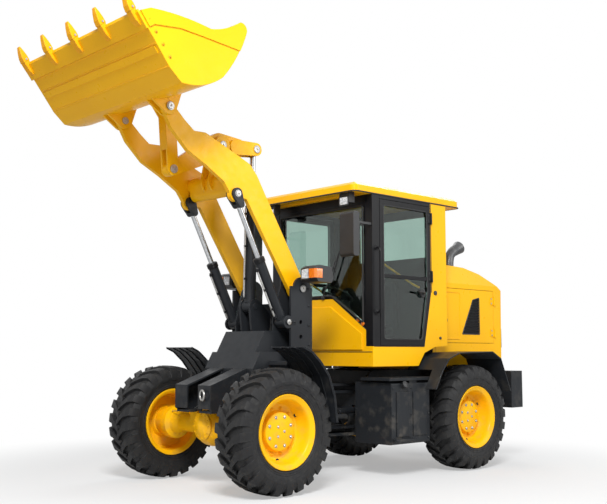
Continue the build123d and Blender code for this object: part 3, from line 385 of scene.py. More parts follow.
rim_section = [
    (0.078, 0.004), (0.078, 0.168), (0.073, 0.177), (0.062, 0.181), (0.024, 0.186), (0.016, 0.194),
    (0.016, 0.236), (0.026, 0.258), (0.060, 0.276), (0.120, 0.288), (0.158, 0.294), (0.168, 0.302),
    (0.174, 0.312), (0.182, 0.330), (0.190, 0.340), (0.189, 0.346), (0.178, 0.348), (0.170, 0.342),
    (0.167, 0.312), (0.140, 0.304), (-0.140, 0.304), (-0.167, 0.312), (-0.170, 0.342),
    (-0.178, 0.348), (-0.189, 0.346), (-0.190, 0.340), (-0.180, 0.318), (-0.166, 0.300),
    (-0.120, 0.292), (-0.020, 0.282), (-0.002, 0.262), (-0.004, 0.170), (-0.038, 0.150),
    (-0.038, 0.004)]
wheels = {}
for end in ("front", "rear"):
    for hand in ("left", "right"):
        wheel = f"wheel_{end}_{hand}"
        low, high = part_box(f"tyre_{end}_{hand}")
        centre = np.array([(low[i] + high[i]) / 2 for i in range(3)])
        outward = 1.0 if hand == "left" else -1.0
        wheels[end, hand] = (wheel, centre, outward, (high[2] - low[2]) / 2, (high[1] - low[1]) / 2)
        axle_line = (0.0, outward, 0.0)
        add_piece(f"rim_disc_{end}_{hand}", [lathe(centre, axle_line, rim_section[::-1], 72)],
                  wheel, rim_yellow, replaces=(f"rim_{end}_{hand}",))
        for kind, ring_radius, face, count, size, material, slot in (
                ("hub_bolts", 0.142, 0.078, 8, 0.011, plated_steel, "steel"),
                ("cap_bolts", 0.052, 0.078, 3, 0.009, plated_steel, "steel"),
                ("wheel_nuts", 0.214, 0.016, 12, 0.014, rim_yellow, "rim_paint")):
            shapes = []
            for turn in (np.arange(count) + 0.5) * 2 * np.pi / count:
                foot = centre + np.array([ring_radius * math.cos(turn), outward * face,
                                          ring_radius * math.sin(turn)])
                shapes += bolt(foot, axle_line, size)
            add_piece(f"{kind}_{end}_{hand}", shapes, wheel, material, smooth=False)
        # Dark discs painted as the shade inside three hand holes.
        hole_shade_discs = []
        for turn in (0.5, 2.6, 4.7):
            foot = centre + np.array([0.266 * math.cos(turn), outward * 0.040, 0.266 * math.sin(turn)])
            lean = (-0.5 * math.cos(turn), outward * 0.86, -0.5 * math.sin(turn))
            hole_shade_discs.append(lathe(foot, lean, [(-0.004, 0.018), (0.003, 0.018), (0.002, 0.013),
                                            (0.0, 0.012)], 20))
        add_piece(f"hand_hole_shades_{end}_{hand}", hole_shade_discs, wheel, dark_recess)
        valve_foot = centre + np.array([0.272, outward * 0.06, 0.0])
        valve = lathe(valve_foot, (-0.35, outward, 0.0),
                      [(0.0, 0.008), (0.02, 0.008), (0.022, 0.005), (0.05, 0.005), (0.052, 0.002)], 12)
        add_piece(f"valve_{end}_{hand}", [valve], wheel, plated_steel)

# ---------------------------------------------------------------- tyres
# Bias-ply earthmover tyres with a directional tread: heavy lugs start at the
# middle and sweep out and back over the shoulder. The rubber is moulded,
# black with a dull bloom, and dust lies between the lugs.
tyre_rubber, tree, shader = surface("tyre_rubber", 0.6, Specular_IOR_Level=0.25)
bloom = between(tree, mottle(tree, 5.0, 0.0, 1.0), (0.011, 0.011, 0.012), (0.018, 0.018, 0.018))
dusty = between(tree, mottle(tree, 18.0, -0.5, 0.35, detail=8.0), bloom, (0.040, 0.038, 0.034))
tree.links.new(dusty, shader.inputs["Base Color"])
tree.links.new(mottle(tree, 30.0, 0.42, 0.7), shader.inputs["Roughness"])
normal, turned = rounded_edges(tree, 0.004)
relief(tree, shader, mottle(tree, 240.0, 0.0, 1.0), 0.2, 0.001, normal)

lugs_each_side = 24
lug_height = 0.038
drawn_half_width = 0.205
tyre_turn = np.linspace(0, 2 * np.pi, 144, endpoint=False)


def about_wheel(centre, radius, angle, along):
    """Points at a radius, an angle about the wheel's axle and a distance along it."""
    return np.stack([centre[0] + radius * np.sin(angle), centre[1] + along,
                     centre[2] + radius * np.cos(angle)], -1)


def carcass(centre, radius, half_width):
    """Half-round casing from bead to bead: rows of (radius, along) turned about the axle."""
    tread = radius - lug_height
    rows = np.array([
        (0.308, -0.150), (0.345, -0.172), (0.352, -0.178), (0.362, -0.190), (0.372, -0.194),
        (0.376, -0.190), (0.384, -0.191), (0.390, -0.196), (0.396, -0.193), (0.425, -0.200),
        (0.455, -0.203), (0.462, -0.205), (0.468, -0.203), (tread - 0.050, -0.196),
        (tread - 0.016, -0.176), (tread - 0.002, -0.140), (tread + 0.004, -0.06), (tread + 0.005, 0.0)])
    rows[:, 1] *= half_width / drawn_half_width
    rows = np.concatenate([rows, (rows[:-1] * (1, -1))[::-1]])
    radii, angles = np.meshgrid(rows[:, 0], tyre_turn, indexing="ij")
    along = np.broadcast_to(rows[:, 1:2], radii.shape)
    return lattice(about_wheel(centre, radii, angles, along), wrap_u=True, wrap_v=True)


def tread_lugs(centre, radius, half_width):
    """Lugs that start narrow at the middle and end as wide blocks on the shoulder.

    Along a lug, u runs 0 to 1 from the middle to the sidewall; across it, v walks round a
    trapezium. The angle lags as u grows, fast at first and then not at all, and the lug's
    foot follows the casing.
    """
    u = np.array([0.0, 0.16, 0.34, 0.52, 0.66, 0.80, 0.90, 1.0])
    along = np.interp(u, [0, 0.80, 0.90, 1.0], [-0.016, 0.178, 0.196, 0.2035])
    along = along * half_width / drawn_half_width
    foot = np.interp(u, [0, 0.5, 0.80, 0.90, 1.0], [0.0, -0.004, -0.035, -0.068, -0.110])
    foot += radius - lug_height
    top = np.interp(u, [0, 0.4, 0.66, 0.80, 0.90, 1.0], [0.0, -0.002, -0.008, -0.020, -0.052, -0.104])
    top += radius
    reach = np.interp(u, [0, 0.16, 0.52, 0.80, 1.0], [0.0, 0.045, 0.115, 0.135, 0.140])
    width = np.interp(u, [0, 0.34, 0.66, 1.0], [0.058, 0.070, 0.092, 0.096])
    across = np.array([-1.16, -0.92, 0.92, 1.16])
    height = np.array([0.0, 1.0, 1.0, 0.0])
    lugs = []
    for side_sign in (1.0, -1.0):
        start = np.arange(lugs_each_side) * 2 * np.pi / lugs_each_side
        start += (side_sign < 0) * np.pi / lugs_each_side
        radial = foot[:, None] - 0.01 + (top - foot + 0.01)[:, None] * height[None]
        angle = (-reach[:, None] + across[None] * width[:, None] / 2) / radius
        for first in start:
            rings = about_wheel(centre, radial, first + angle,
                                side_sign * np.broadcast_to(along[:, None], radial.shape))
            if side_sign < 0:
                rings = rings[:, ::-1]
            lugs.append(capped(rings))
    return lugs


for (end, hand), (wheel, centre, outward, radius, half_width) in wheels.items():
    shapes = [carcass(centre, radius, half_width)] + tread_lugs(centre, radius, half_width)
    add_piece(f"tyre_tread_{end}_{hand}", shapes, wheel, tyre_rubber,
              replaces=(f"tyre_{end}_{hand}",))

# ---------------------------------------------------------------- painted steelwork
# Frames, towers, tanks, fenders and counterweight are welded plate sprayed
# dark grey. Boom, bucket, hood and cab panels are sprayed machinery yellow;
# cab posts and doors are black, and the cab is lined with grey board.
yellow_enamel = enamel("yellow_enamel", (0.90, 0.470, 0.003), (0.86, 0.430, 0.003), (0.52, 0.26, 0.02), 0.32)
dark_enamel = enamel("dark_enamel", (0.013, 0.0145, 0.017), (0.018, 0.020, 0.023), (0.06, 0.06, 0.06), 0.38)
black_enamel = enamel("black_enamel", (0.005, 0.005, 0.006), (0.008, 0.008, 0.009), (0.03, 0.03, 0.03), 0.34)
cab_lining, tree, shader = surface("cab_lining", 0.75)
tint(tree, shader, 12.0, (0.030, 0.031, 0.033), (0.045, 0.046, 0.048))
relief(tree, shader, mottle(tree, 380.0, 0.0, 1.0), 0.3, 0.001)


def two_tone(name, first, second, chosen):
    """Finish a node with two materials; chosen(centres, normals) picks the second's faces."""
    mesh = nodes[name].data
    centres, normals = np.empty(len(mesh.polygons) * 3), np.empty(len(mesh.polygons) * 3)
    mesh.polygons.foreach_get("center", centres)
    mesh.polygons.foreach_get("normal", normals)
    picked = chosen(centres.reshape(-1, 3), normals.reshape(-1, 3))
    mesh.materials.clear()
    mesh.materials.append(first)
    mesh.materials.append(second)
    mesh.polygons.foreach_set("material_index", picked.astype(np.int32))


for name in ("front_frame", "rear_frame", "front_nose", "towers", "side_tanks",
             "counterweight", "rear_fenders", "front_fenders", "lift_barrel_left",
             "lift_barrel_right", "tilt_barrel", "steering_barrel_left", "steering_barrel_right"):
    finish_node(name, dark_enamel)
for name in ("cab_frame", "door_left", "door_right", "grab_rails"):
    finish_node(name, black_enamel)
for name in ("cab_roof", "hood", "bucket", "boom_arm_left", "boom_arm_right",
             "boom_cross_tube", "bellcrank", "bucket_link", "front_axle", "rear_axle",
             "engine_door_left", "engine_door_right"):
    finish_node(name, yellow_enamel)
cab_middle = spot(-0.67, 0.0, 2.1)
two_tone("cab_shell", yellow_enamel, cab_lining,
         lambda centres, normals: (((cab_middle - centres) * normals).sum(1) > 0.02)
         & (np.abs(centres[:, 1]) < 0.79))


def prism(outline, thickness):
    """Flat closed outline (n, 3), made solid by this thickness vector."""
    outline = np.asarray(outline, float)
    return capped(np.stack([outline, outline + np.asarray(thickness, float)]))


def tube(path, radius, sides=12, up=(0.0, 0.0, 1.0), closed=False):
    """Round bar along a path of points; across each point runs the cross of up and the path."""
    path = np.asarray(path, float)
    ahead = np.roll(path, -1, 0) - np.roll(path, 1, 0)
    if not closed:
        ahead[0], ahead[-1] = path[1] - path[0], path[-1] - path[-2]
    ahead /= np.linalg.norm(ahead, axis=1, keepdims=True)
    across = np.cross(np.asarray(up, float), ahead)
    across /= np.linalg.norm(across, axis=1, keepdims=True)
    lift = np.cross(ahead, across)
    turn = np.linspace(0, 2 * np.pi, sides, endpoint=False)
    rings = path[:, None] + radius * (np.cos(turn)[None, :, None] * across[:, None]
                                      + np.sin(turn)[None, :, None] * lift[:, None])
    if closed:
        return lattice(rings, wrap_u=True, wrap_v=True)
    return capped(rings)


def bend(points, radius, steps=7):
    """Path through corner points with each corner rounded by a quadratic curve."""
    points = np.asarray(points, float)
    path = [points[:1]]
    share = np.linspace(0, 1, steps)[:, None]
    for before, corner, after in zip(points[:-2], points[1:-1], points[2:]):
        enter = corner + (before - corner) / np.linalg.norm(before - corner) * radius
        leave = corner + (after - corner) / np.linalg.norm(after - corner) * radius
        path.append((1 - share) ** 2 * enter + 2 * share * (1 - share) * corner + share ** 2 * leave)
    path.append(points[-1:])
    return np.concatenate(path)


# ---------------------------------------------------------------- axles
# Cast axles in machinery yellow. A ring of set screws closes the round
# casing of the final drive, and a thin steel brake pipe runs along each tube.
axle_reach = 1.45
axle_height = 0.59
for end, ahead in (("front", 1.0), ("rear", -1.0)):
    centre = spot(ahead * axle_reach, 0.0, axle_height)
    shapes = []
    for turn in np.arange(12) * np.pi / 6:
        foot = centre + np.array([ahead * 0.168, 0.115 * math.cos(turn), 0.115 * math.sin(turn)])
        shapes += bolt(foot, (ahead, 0.0, 0.0), 0.011)
    shapes.append(lathe(centre + (ahead * 0.150, 0.0, 0.0), (ahead, 0.0, 0.0),
                        [(0.0, 0.138), (0.018, 0.138), (0.022, 0.132), (0.030, 0.088),
                         (0.052, 0.060), (0.060, 0.004)], 40))
    add_piece(f"drive_cover_{end}", shapes, end, yellow_enamel)
    pipes = []
    for hand in (1.0, -1.0):
        route = [centre + (ahead * 0.06, hand * 0.16, 0.215), centre + (ahead * 0.09, hand * 0.30, 0.13),
                 centre + (ahead * 0.09, hand * 0.62, 0.12), centre + (ahead * 0.04, hand * 0.72, 0.10)]
        pipes.append(tube(bend(route, 0.04), 0.005, 8))
    add_piece(f"brake_pipes_{end}", pipes, end, plated_steel)

# ---------------------------------------------------------------- front frame and towers
# The welded front frame carries a round towing ring on its nose, bolts up
# its shoulders and steel pins with keeper plates, on which the boom and the
# lift cylinders turn.
ring_place = spot(1.752, 0.19, 0.905)
turn = np.linspace(0, 2 * np.pi, 40, endpoint=False)
ring = ring_place + np.stack([0.012 + 0.010 * np.cos(turn), 0.046 * np.cos(turn), 0.046 * np.sin(turn)], -1)
add_piece("towing_ring", [tube(ring, 0.011, 12, up=(1.0, 0.2, 0.1), closed=True)],
          "front", plated_steel)
nose_side = 0.290
frame_side = 0.390
tower_side = 0.480
shapes = []
for hand in (1.0, -1.0):
    for forward in (1.32, 1.42, 1.52, 1.62):
        shapes += bolt(spot(forward, hand * nose_side, 0.80), (0.0, hand, 0.0), 0.012)
    for forward, height in ((0.62, 1.24), (0.62, 1.05), (0.62, 0.86), (1.22, 0.80), (1.22, 1.08)):
        shapes += bolt(spot(forward, hand * frame_side, height), (0.0, hand, 0.0), 0.013)
    for height in (1.20, 1.40, 1.60, 1.80):
        shapes += bolt(spot(0.61, hand * tower_side, height), (0.0, hand, 0.0), 0.011)
add_piece("frame_bolts", shapes, "front", dark_enamel, smooth=False)
boom_pivot = (0.70, 1.98)
lift_base = (0.895, 1.63)
keeper_foot = 0.481
pin_face = 0.492
shapes, keepers = [], []
for hand in (1.0, -1.0):
    for (forward, height), radius in ((boom_pivot, 0.040), (lift_base, 0.030)):
        place = spot(forward, hand * pin_face, height)
        shapes.append(lathe(place, (0.0, hand, 0.0), [(-0.006, radius * 0.96), (0.004, radius * 0.96),
                                                      (0.007, radius * 0.8), (0.007, 0.012),
                                                      (0.012, 0.009), (0.020, 0.007), (0.022, 0.003)], 28))
        flat = spot(forward, hand * keeper_foot, height)[None] + np.array(
            [(-0.095, 0.0, -0.02), (-0.035, 0.0, -0.02), (-0.035, 0.0, 0.02), (-0.095, 0.0, 0.02)])
        keepers.append(prism(flat, (0.0, hand * 0.008, 0.0)))
        for step in (-0.080, -0.055):
            keepers += bolt(spot(forward + step, hand * 0.490, height), (0.0, hand, 0.0), 0.007)
add_piece("tower_pin_ends", shapes, "front", plated_steel)
add_piece("tower_keepers", keepers, "front", dark_enamel, smooth=False)

# ---------------------------------------------------------------- front fenders
# Pressed dark sheet over each front wheel, bolted down in three rows and
# edged with a folded lip.
fender_line = np.array([(1.275, 1.375), (1.180, 1.335), (1.060, 1.235), (0.950, 1.105),
                        (0.870, 0.900), (0.836, 0.650)])
shapes, lips = [], []
for hand in (1.0, -1.0):
    for first, last in zip(fender_line[:-1], fender_line[1:]):
        middle = (first + last) / 2
        away = np.array([last[1] - first[1], first[0] - last[0]])
        away /= -np.linalg.norm(away)
        away *= np.sign(np.dot(away, middle - (axle_reach, axle_height)))
        for across in (0.70, 0.88, 1.08):
            shapes += bolt(spot(middle[0] + away[0] * 0.001, hand * across, middle[1] + away[1] * 0.001),
                           (away[0], 0.0, away[1]), 0.009)
    for across in (0.655, 1.125):
        edge = np.stack([hinge + fender_line[:, 0], np.full(len(fender_line), hand * across),
                         fender_line[:, 1]], -1)
        lips.append(tube(bend(edge, 0.03), 0.006, 8, up=(0.0, 1.0, 0.0)))
add_piece("fender_bolts", shapes, "front", dark_enamel, smooth=False)
add_piece("fender_lips", lips, "front", dark_enamel)

# ---------------------------------------------------------------- boom and bellcrank
# Steel pins show at the pivots of the boom's crank, lift cylinders and
# bucket, each closed by a boss and a grease nipple.
bucket_pivot = (2.368, 3.622)
lift_eye = (1.54, 2.887)
crank_pivot = (1.45, 3.45)
crank_top = (0.98, 3.48)
crank_low = (2.05, 3.12)
for hand, side_name in ((1.0, "left"), (-1.0, "right")):
    for (forward, height), across, radius in ((bucket_pivot, 0.450, 0.033), (lift_eye, 0.443, 0.030)):
        pin_end = lathe(spot(forward, hand * across, height), (0.0, hand, 0.0),
                        [(-0.008, radius * 1.25), (0.006, radius * 1.25), (0.008, radius * 0.95),
                         (0.014, radius * 0.9), (0.014, 0.010), (0.022, 0.008), (0.026, 0.003)], 28)
        add_piece(f"pin_end_boom_{side_name}_{round(height * 100)}", [pin_end], "boom",
                  plated_steel)
for name, body, (forward, height), half in (("crank_pin", "boom", crank_pivot, 0.083),
                                            ("crank_top_pin", "bellcrank", crank_top, 0.066),
                                            ("crank_low_pin", "bellcrank", crank_low, 0.068)):
    shapes = [lathe(spot(forward, hand * half, height), (0.0, hand, 0.0),
                    [(-0.004, 0.042), (0.008, 0.042), (0.010, 0.034), (0.010, 0.010), (0.020, 0.006)], 24)
              for hand in (1.0, -1.0)]
    add_piece(f"{name}_ends", shapes, body, plated_steel)

# ---------------------------------------------------------------- cylinders
# Hard-chromed rods run in dark barrels closed by a ribbed gland nut; the
# fork eyes are dark castings and a bright oil pipe lies along each barrel.
hard_chrome, tree, shader = surface("hard_chrome", 0.16, metallic=1.0)
tint(tree, shader, 40.0, (0.40, 0.41, 0.42), (0.56, 0.57, 0.58))
tree.links.new(mottle(tree, 200.0, 0.10, 0.24, stretch=(1.0, 1.0, 0.05)), shader.inputs["Roughness"])
for name in ("steering_rod_left", "steering_rod_right"):
    finish_node(name, hard_chrome)
tilt_base = (1.01, 1.80)
for name, base, eye, fork in (("lift_rod_left", lift_base, lift_eye, 0.150),
                              ("lift_rod_right", lift_base, lift_eye, 0.150),
                              ("tilt_rod", tilt_base, crank_top, 0.060)):
    whole = math.dist(base, eye)
    line = np.array([eye[0] - base[0], 0.0, eye[1] - base[1]]) / whole
    root = whole - fork
    start = spot(base[0], 0.0, base[1])
    two_tone(name, hard_chrome, dark_enamel,
             lambda centres, normals: ((centres - start) * line).sum(1) > root)
for name, base, eye, across, radius, mouth in (
        ("lift_barrel_left", lift_base, lift_eye, 0.385, 0.056, 0.715),
        ("lift_barrel_right", lift_base, lift_eye, -0.385, 0.056, 0.715),
        ("tilt_barrel", tilt_base, crank_top, 0.0, 0.066, 1.150)):
    start = spot(base[0], across, base[1])
    line = np.array([eye[0] - base[0], 0.0, eye[1] - base[1]])
    line /= np.linalg.norm(line)
    rows = [(-0.046, radius + 0.001)]
    for step in np.arange(4) * 0.011:
        rows += [(-0.040 + step, radius + 0.004), (-0.033 + step, radius + 0.004), (-0.031 + step, radius)]
    rows += [(0.006, radius - 0.002), (0.010, radius - 0.012)]
    add_piece(f"gland_{name}", [lathe(start + line * mouth, line, rows, 36)], name, black_enamel)
    front = np.array([line[2], 0.0, -line[0]])
    pipe = [start + line * 0.085 + front * (radius - 0.006), start + line * 0.10 + front * (radius + 0.016),
            start + line * (mouth - 0.11) + front * (radius + 0.016),
            start + line * (mouth - 0.09) + front * (radius - 0.006)]
    add_piece(f"pipe_{name}", [tube(bend(pipe, 0.012), 0.0105, 12, up=(0.0, 1.0, 0.0))], name,
              plated_steel)
    clips = []
    for share in (0.25, 0.55, 0.85):
        foot = start + line * mouth * share + front * (radius + 0.006)
        clips.append(lathe(foot - line * 0.012, line, [(0.0, 0.020), (0.024, 0.020)], 14))
    add_piece(f"clips_{name}", clips, name, black_enamel, smooth=False)
for name in ("bucket_pins", "bellcrank_pin", "link_pin"):
    finish_node(name, plated_steel)

# ---------------------------------------------------------------- bucket
# The lip plate carries five pinned teeth in forged adaptors. A wear strip
# and weld beads run across under the floor, and bolts line each side.
lip = np.array([3.111, 4.190])
floor_bend = np.array([2.782, 3.766])
along_floor = (lip - floor_bend) / np.linalg.norm(lip - floor_bend)
below_floor = np.array([along_floor[1], -along_floor[0]])
tooth_yellow = enamel("tooth_enamel", (0.86, 0.40, 0.004), (0.80, 0.34, 0.004), (0.30, 0.20, 0.10), 0.40)


def floor_spot(along, below, across):
    """Place past the lip along the bucket's floor and below it."""
    forward, height = lip + along_floor * along + below_floor * below
    return spot(forward, across, height)


def loft(rows, across):
    """Four-sided bar along the floor; each row is (along, top, bottom, half width)."""
    return capped(np.array([[floor_spot(along, top, across - half), floor_spot(along, top, across + half),
                             floor_spot(along, bottom, across + half),
                             floor_spot(along, bottom, across - half)]
                            for along, top, bottom, half in rows]))


tooth_places = (-0.96, -0.48, 0.0, 0.48, 0.96)
teeth, tooth_pins = [], []
for across in tooth_places:
    teeth.append(loft([(-0.115, 0.020, 0.030, 0.034), (-0.060, 0.016, 0.048, 0.040),
                       (0.020, -0.012, 0.050, 0.038), (0.062, -0.014, 0.044, 0.034)], across))
    teeth.append(loft([(0.030, -0.017, 0.054, 0.040), (0.080, -0.019, 0.046, 0.038),
                       (0.140, -0.016, 0.024, 0.031), (0.186, -0.010, 0.002, 0.023)], across))
    place = floor_spot(0.052, 0.014, across)
    tooth_pins.append(lathe(place - (0.0, 0.048, 0.0), (0.0, 1.0, 0.0), [(0.0, 0.010), (0.096, 0.010)], 12))
lip_plate = [loft([(-0.160, 0.001, 0.022, 1.040), (-0.006, 0.001, 0.022, 1.040),
                   (0.014, 0.001, 0.006, 1.038)], 0.0)]
add_piece("bucket_lip", lip_plate, "bucket", yellow_enamel, smooth=False, bevel=0.002,
          replaces=("cutting_edge",))
add_piece("bucket_teeth", teeth, "bucket", tooth_yellow, smooth=False, bevel=0.005,
          replaces=("cutting_edge",))
add_piece("tooth_pins", tooth_pins, "bucket", plated_steel)
beads = []
for along, below in ((-0.165, 0.002), (-0.30, 0.001), (-0.52, 0.001)):
    bead = [floor_spot(along, below, across) for across in (-1.02, 0.0, 1.02)]
    beads.append(tube(bead, 0.005, 8))
strips = [loft([(-0.315, 0.0, 0.009, 0.99), (-0.385, 0.0, 0.009, 0.99)][::-1], 0.0)]
add_piece("wear_strips", strips, "bucket", yellow_enamel, smooth=False, bevel=0.002)
add_piece("weld_beads", beads, "bucket", yellow_enamel)
side_bolts = []
for hand in (1.0, -1.0):
    for along in (-0.10, -0.22, -0.34, -0.46):
        side_bolts += bolt(floor_spot(along, -0.055, hand * 1.029), (0.0, hand, 0.0), 0.010)
add_piece("side_bolts", side_bolts, "bucket", tooth_yellow, smooth=False)

# ---------------------------------------------------------------- lamps
# Moulded black housings. Each headlamp has a framed clear lens and an amber
# lens that wraps its outer corner. Roof lamps have framed clear lenses, and
# tail lamps a red lens under an amber one.
moulded_plastic, tree, shader = surface("moulded_plastic", 0.45)
tint(tree, shader, 6.0, (0.012, 0.012, 0.013), (0.020, 0.020, 0.021))
relief(tree, shader, mottle(tree, 500.0, 0.0, 1.0), 0.3, 0.0008)
clear_lens, tree, shader = surface("clear_lens", 0.08, Coat_Weight=0.8)
tint(tree, shader, 70.0, (0.30, 0.31, 0.32), (0.72, 0.74, 0.76), detail=1.0)
amber_lens, tree, shader = surface("amber_lens", 0.12, Coat_Weight=0.8)
tint(tree, shader, 80.0, (0.60, 0.11, 0.004), (0.85, 0.22, 0.01), detail=1.0)
red_lens, tree, shader = surface("red_lens", 0.12, Coat_Weight=0.8)
tint(tree, shader, 80.0, (0.32, 0.006, 0.004), (0.55, 0.02, 0.01), detail=1.0)
for name in ("mirrors", "steering_console", "headlamps", "lamps"):
    finish_node(name, moulded_plastic)


def facing(forward, hand, corners):
    """Places on an upright plane across the machine, from corners of (across, height)."""
    return [spot(forward, hand * across, height) for across, height in corners]


clear, amber, red, bezels = [], [], [], []
for hand in (1.0, -1.0):
    pane = facing(0.803, hand, ((0.592, 2.070), (0.690, 2.070), (0.690, 2.170), (0.592, 2.162)))
    clear.append(prism(pane[::int(hand)], (0.015, 0.0, 0.0)))
    wrap = [(0.800, 0.700), (0.819, 0.700), (0.818, 0.782), (0.802, 0.801), (0.720, 0.803),
            (0.720, 0.793), (0.796, 0.790)]
    wrap = [spot(forward, hand * across, 2.072) for forward, across in wrap]
    amber.append(prism(wrap, (0.0, 0.0, 0.094)))
    bezel = facing(0.811, hand, ((0.60, 2.060), (0.695, 2.060), (0.695, 2.180), (0.582, 2.172),
                                 (0.582, 2.060), (0.60, 2.060)))
    bezels.append(tube(bend(bezel, 0.008), 0.006, 8, up=(1.0, 0.0, 0.0)))
    lens = facing(0.196, hand, ((0.545, 2.905), (0.655, 2.905), (0.655, 2.985), (0.545, 2.985)))
    clear.append(prism(lens, (0.010, 0.0, 0.0)))
    bezel = facing(0.199, hand, ((0.60, 2.896), (0.664, 2.896), (0.664, 2.994), (0.536, 2.994),
                                 (0.536, 2.896), (0.60, 2.896)))
    bezels.append(tube(bend(bezel, 0.01), 0.007, 8, up=(1.0, 0.0, 0.0)))
    for low_edge, high_edge, group in ((1.39, 1.495, red), (1.505, 1.61, amber)):
        lens = facing(-2.680, hand, ((0.495, low_edge), (0.585, low_edge), (0.585, high_edge),
                                     (0.495, high_edge)))
        group.append(prism(lens, (-0.012, 0.0, 0.0)))
for name, shapes, body, material in (("headlamp_lenses", clear[0::2], "front", clear_lens),
                                     ("work_lamp_lenses", clear[1::2], "rear", clear_lens),
                                     ("turn_lenses", amber[0::2], "front", amber_lens),
                                     ("tail_amber", amber[1::2], "rear", amber_lens),
                                     ("tail_red", red, "rear", red_lens)):
    add_piece(name, shapes, body, material, smooth=False, bevel=0.003)
add_piece("headlamp_frames", bezels[0::2], "front", moulded_plastic)
add_piece("work_lamp_frames", bezels[1::2], "rear", moulded_plastic)

# ---------------------------------------------------------------- glass and cab outside
# Green-tinted safety glass in black rubber, a wiper on the windscreen, a
# pressed front panel with round amber markers, and hinges, latches and
# mirrors at the doors.
tinted_glass, tree, shader = surface("tinted_glass", 0.02, Transmission_Weight=1.0, IOR=1.45,
                                       Specular_IOR_Level=0.35)
tint(tree, shader, 1.2, (0.50, 0.63, 0.58), (0.54, 0.67, 0.62))
for name in ("cab_glass", "door_glass_left", "door_glass_right"):
    finish_node(name, tinted_glass)
cab_side = 0.800
seam_side = 0.801
fitting_side = 0.8005
panel = facing(-0.030, 1.0, ((-0.655, 1.345), (0.655, 1.345), (0.655, 1.520), (0.175, 1.825),
                             (-0.175, 1.825), (-0.655, 1.520)))
add_piece("front_panel", [prism(panel, (0.016, 0.0, 0.0))], "rear", yellow_enamel,
          smooth=False, bevel=0.012)
seam = [tube([spot(-0.0285, across, 1.325) for across in (-0.79, 0.0, 0.79)], 0.004, 8)]
for hand in (1.0, -1.0):
    seam.append(tube([spot(forward, hand * seam_side, 1.385) for forward in (-0.04, -0.4, -0.88)], 0.004, 8))
    seam.append(tube([spot(-1.028, hand * seam_side, height) for height in (2.0, 2.5, 3.02)], 0.004, 8,
                     up=(1.0, 0.0, 0.0)))
add_piece("panel_seams", seam, "rear", dark_recess)
markers = []
for hand in (1.0, -1.0):
    for across, height in ((0.585, 1.672), (0.650, 1.628)):
        markers.append(lathe(spot(-0.036, hand * across, height), (1.0, 0.0, 0.0),
                             [(0.0, 0.024), (0.006, 0.024), (0.009, 0.018), (0.011, 0.004)], 24))
add_piece("front_markers", markers, "rear", amber_lens)
trim = bend(facing(-0.020, 1.0, ((0.0, 1.946), (0.192, 1.946), (0.668, 1.640), (0.668, 2.907),
                                 (-0.668, 2.907), (-0.668, 1.640), (-0.192, 1.946), (0.0, 1.946))),
            0.03)
doors = []


def sideways(across, corners):
    """Places on an upright plane along the machine, from corners of (forward, height)."""
    return [spot(forward, across, height) for forward, height in corners]


for hand in (1.0, -1.0):
    pane = sideways(hand * 0.7995, ((-0.212, 2.190), (-0.212, 2.923), (-0.958, 2.923), (-0.958, 2.006),
                                    (-0.848, 1.462), (-0.212, 1.462), (-0.212, 2.190)))
    doors.append(tube(bend(pane, 0.035), 0.008, 8, up=(0.0, 1.0, 0.0)))
window_rubber, tree, shader = surface("window_rubber", 0.6)
tint(tree, shader, 20.0, (0.010, 0.010, 0.010), (0.018, 0.018, 0.018))
add_piece("screen_seal", [tube(trim, 0.010, 8, up=(1.0, 0.0, 0.0))], "rear", window_rubber)
add_piece("door_seal_left", doors[:1], "door_left", window_rubber)
add_piece("door_seal_right", doors[1:], "door_right", window_rubber)
arm = [spot(-0.010, 0.06, 1.935), spot(0.006, 0.10, 1.985), spot(0.004, 0.33, 2.42)]
blade = [spot(-0.012, 0.20, 2.10), spot(-0.012, 0.30, 2.36), spot(-0.012, 0.42, 2.66)]
pivot = lathe(spot(-0.028, 0.06, 1.930), (1.0, 0.0, 0.0),
              [(0.0, 0.024), (0.020, 0.022), (0.026, 0.014), (0.028, 0.004)], 20)
add_piece("wiper", [tube(bend(arm, 0.02), 0.006, 8, up=(1.0, 0.0, 0.0)),
                    tube(blade, 0.007, 6, up=(1.0, 0.0, 0.0)), pivot], "rear", moulded_plastic)
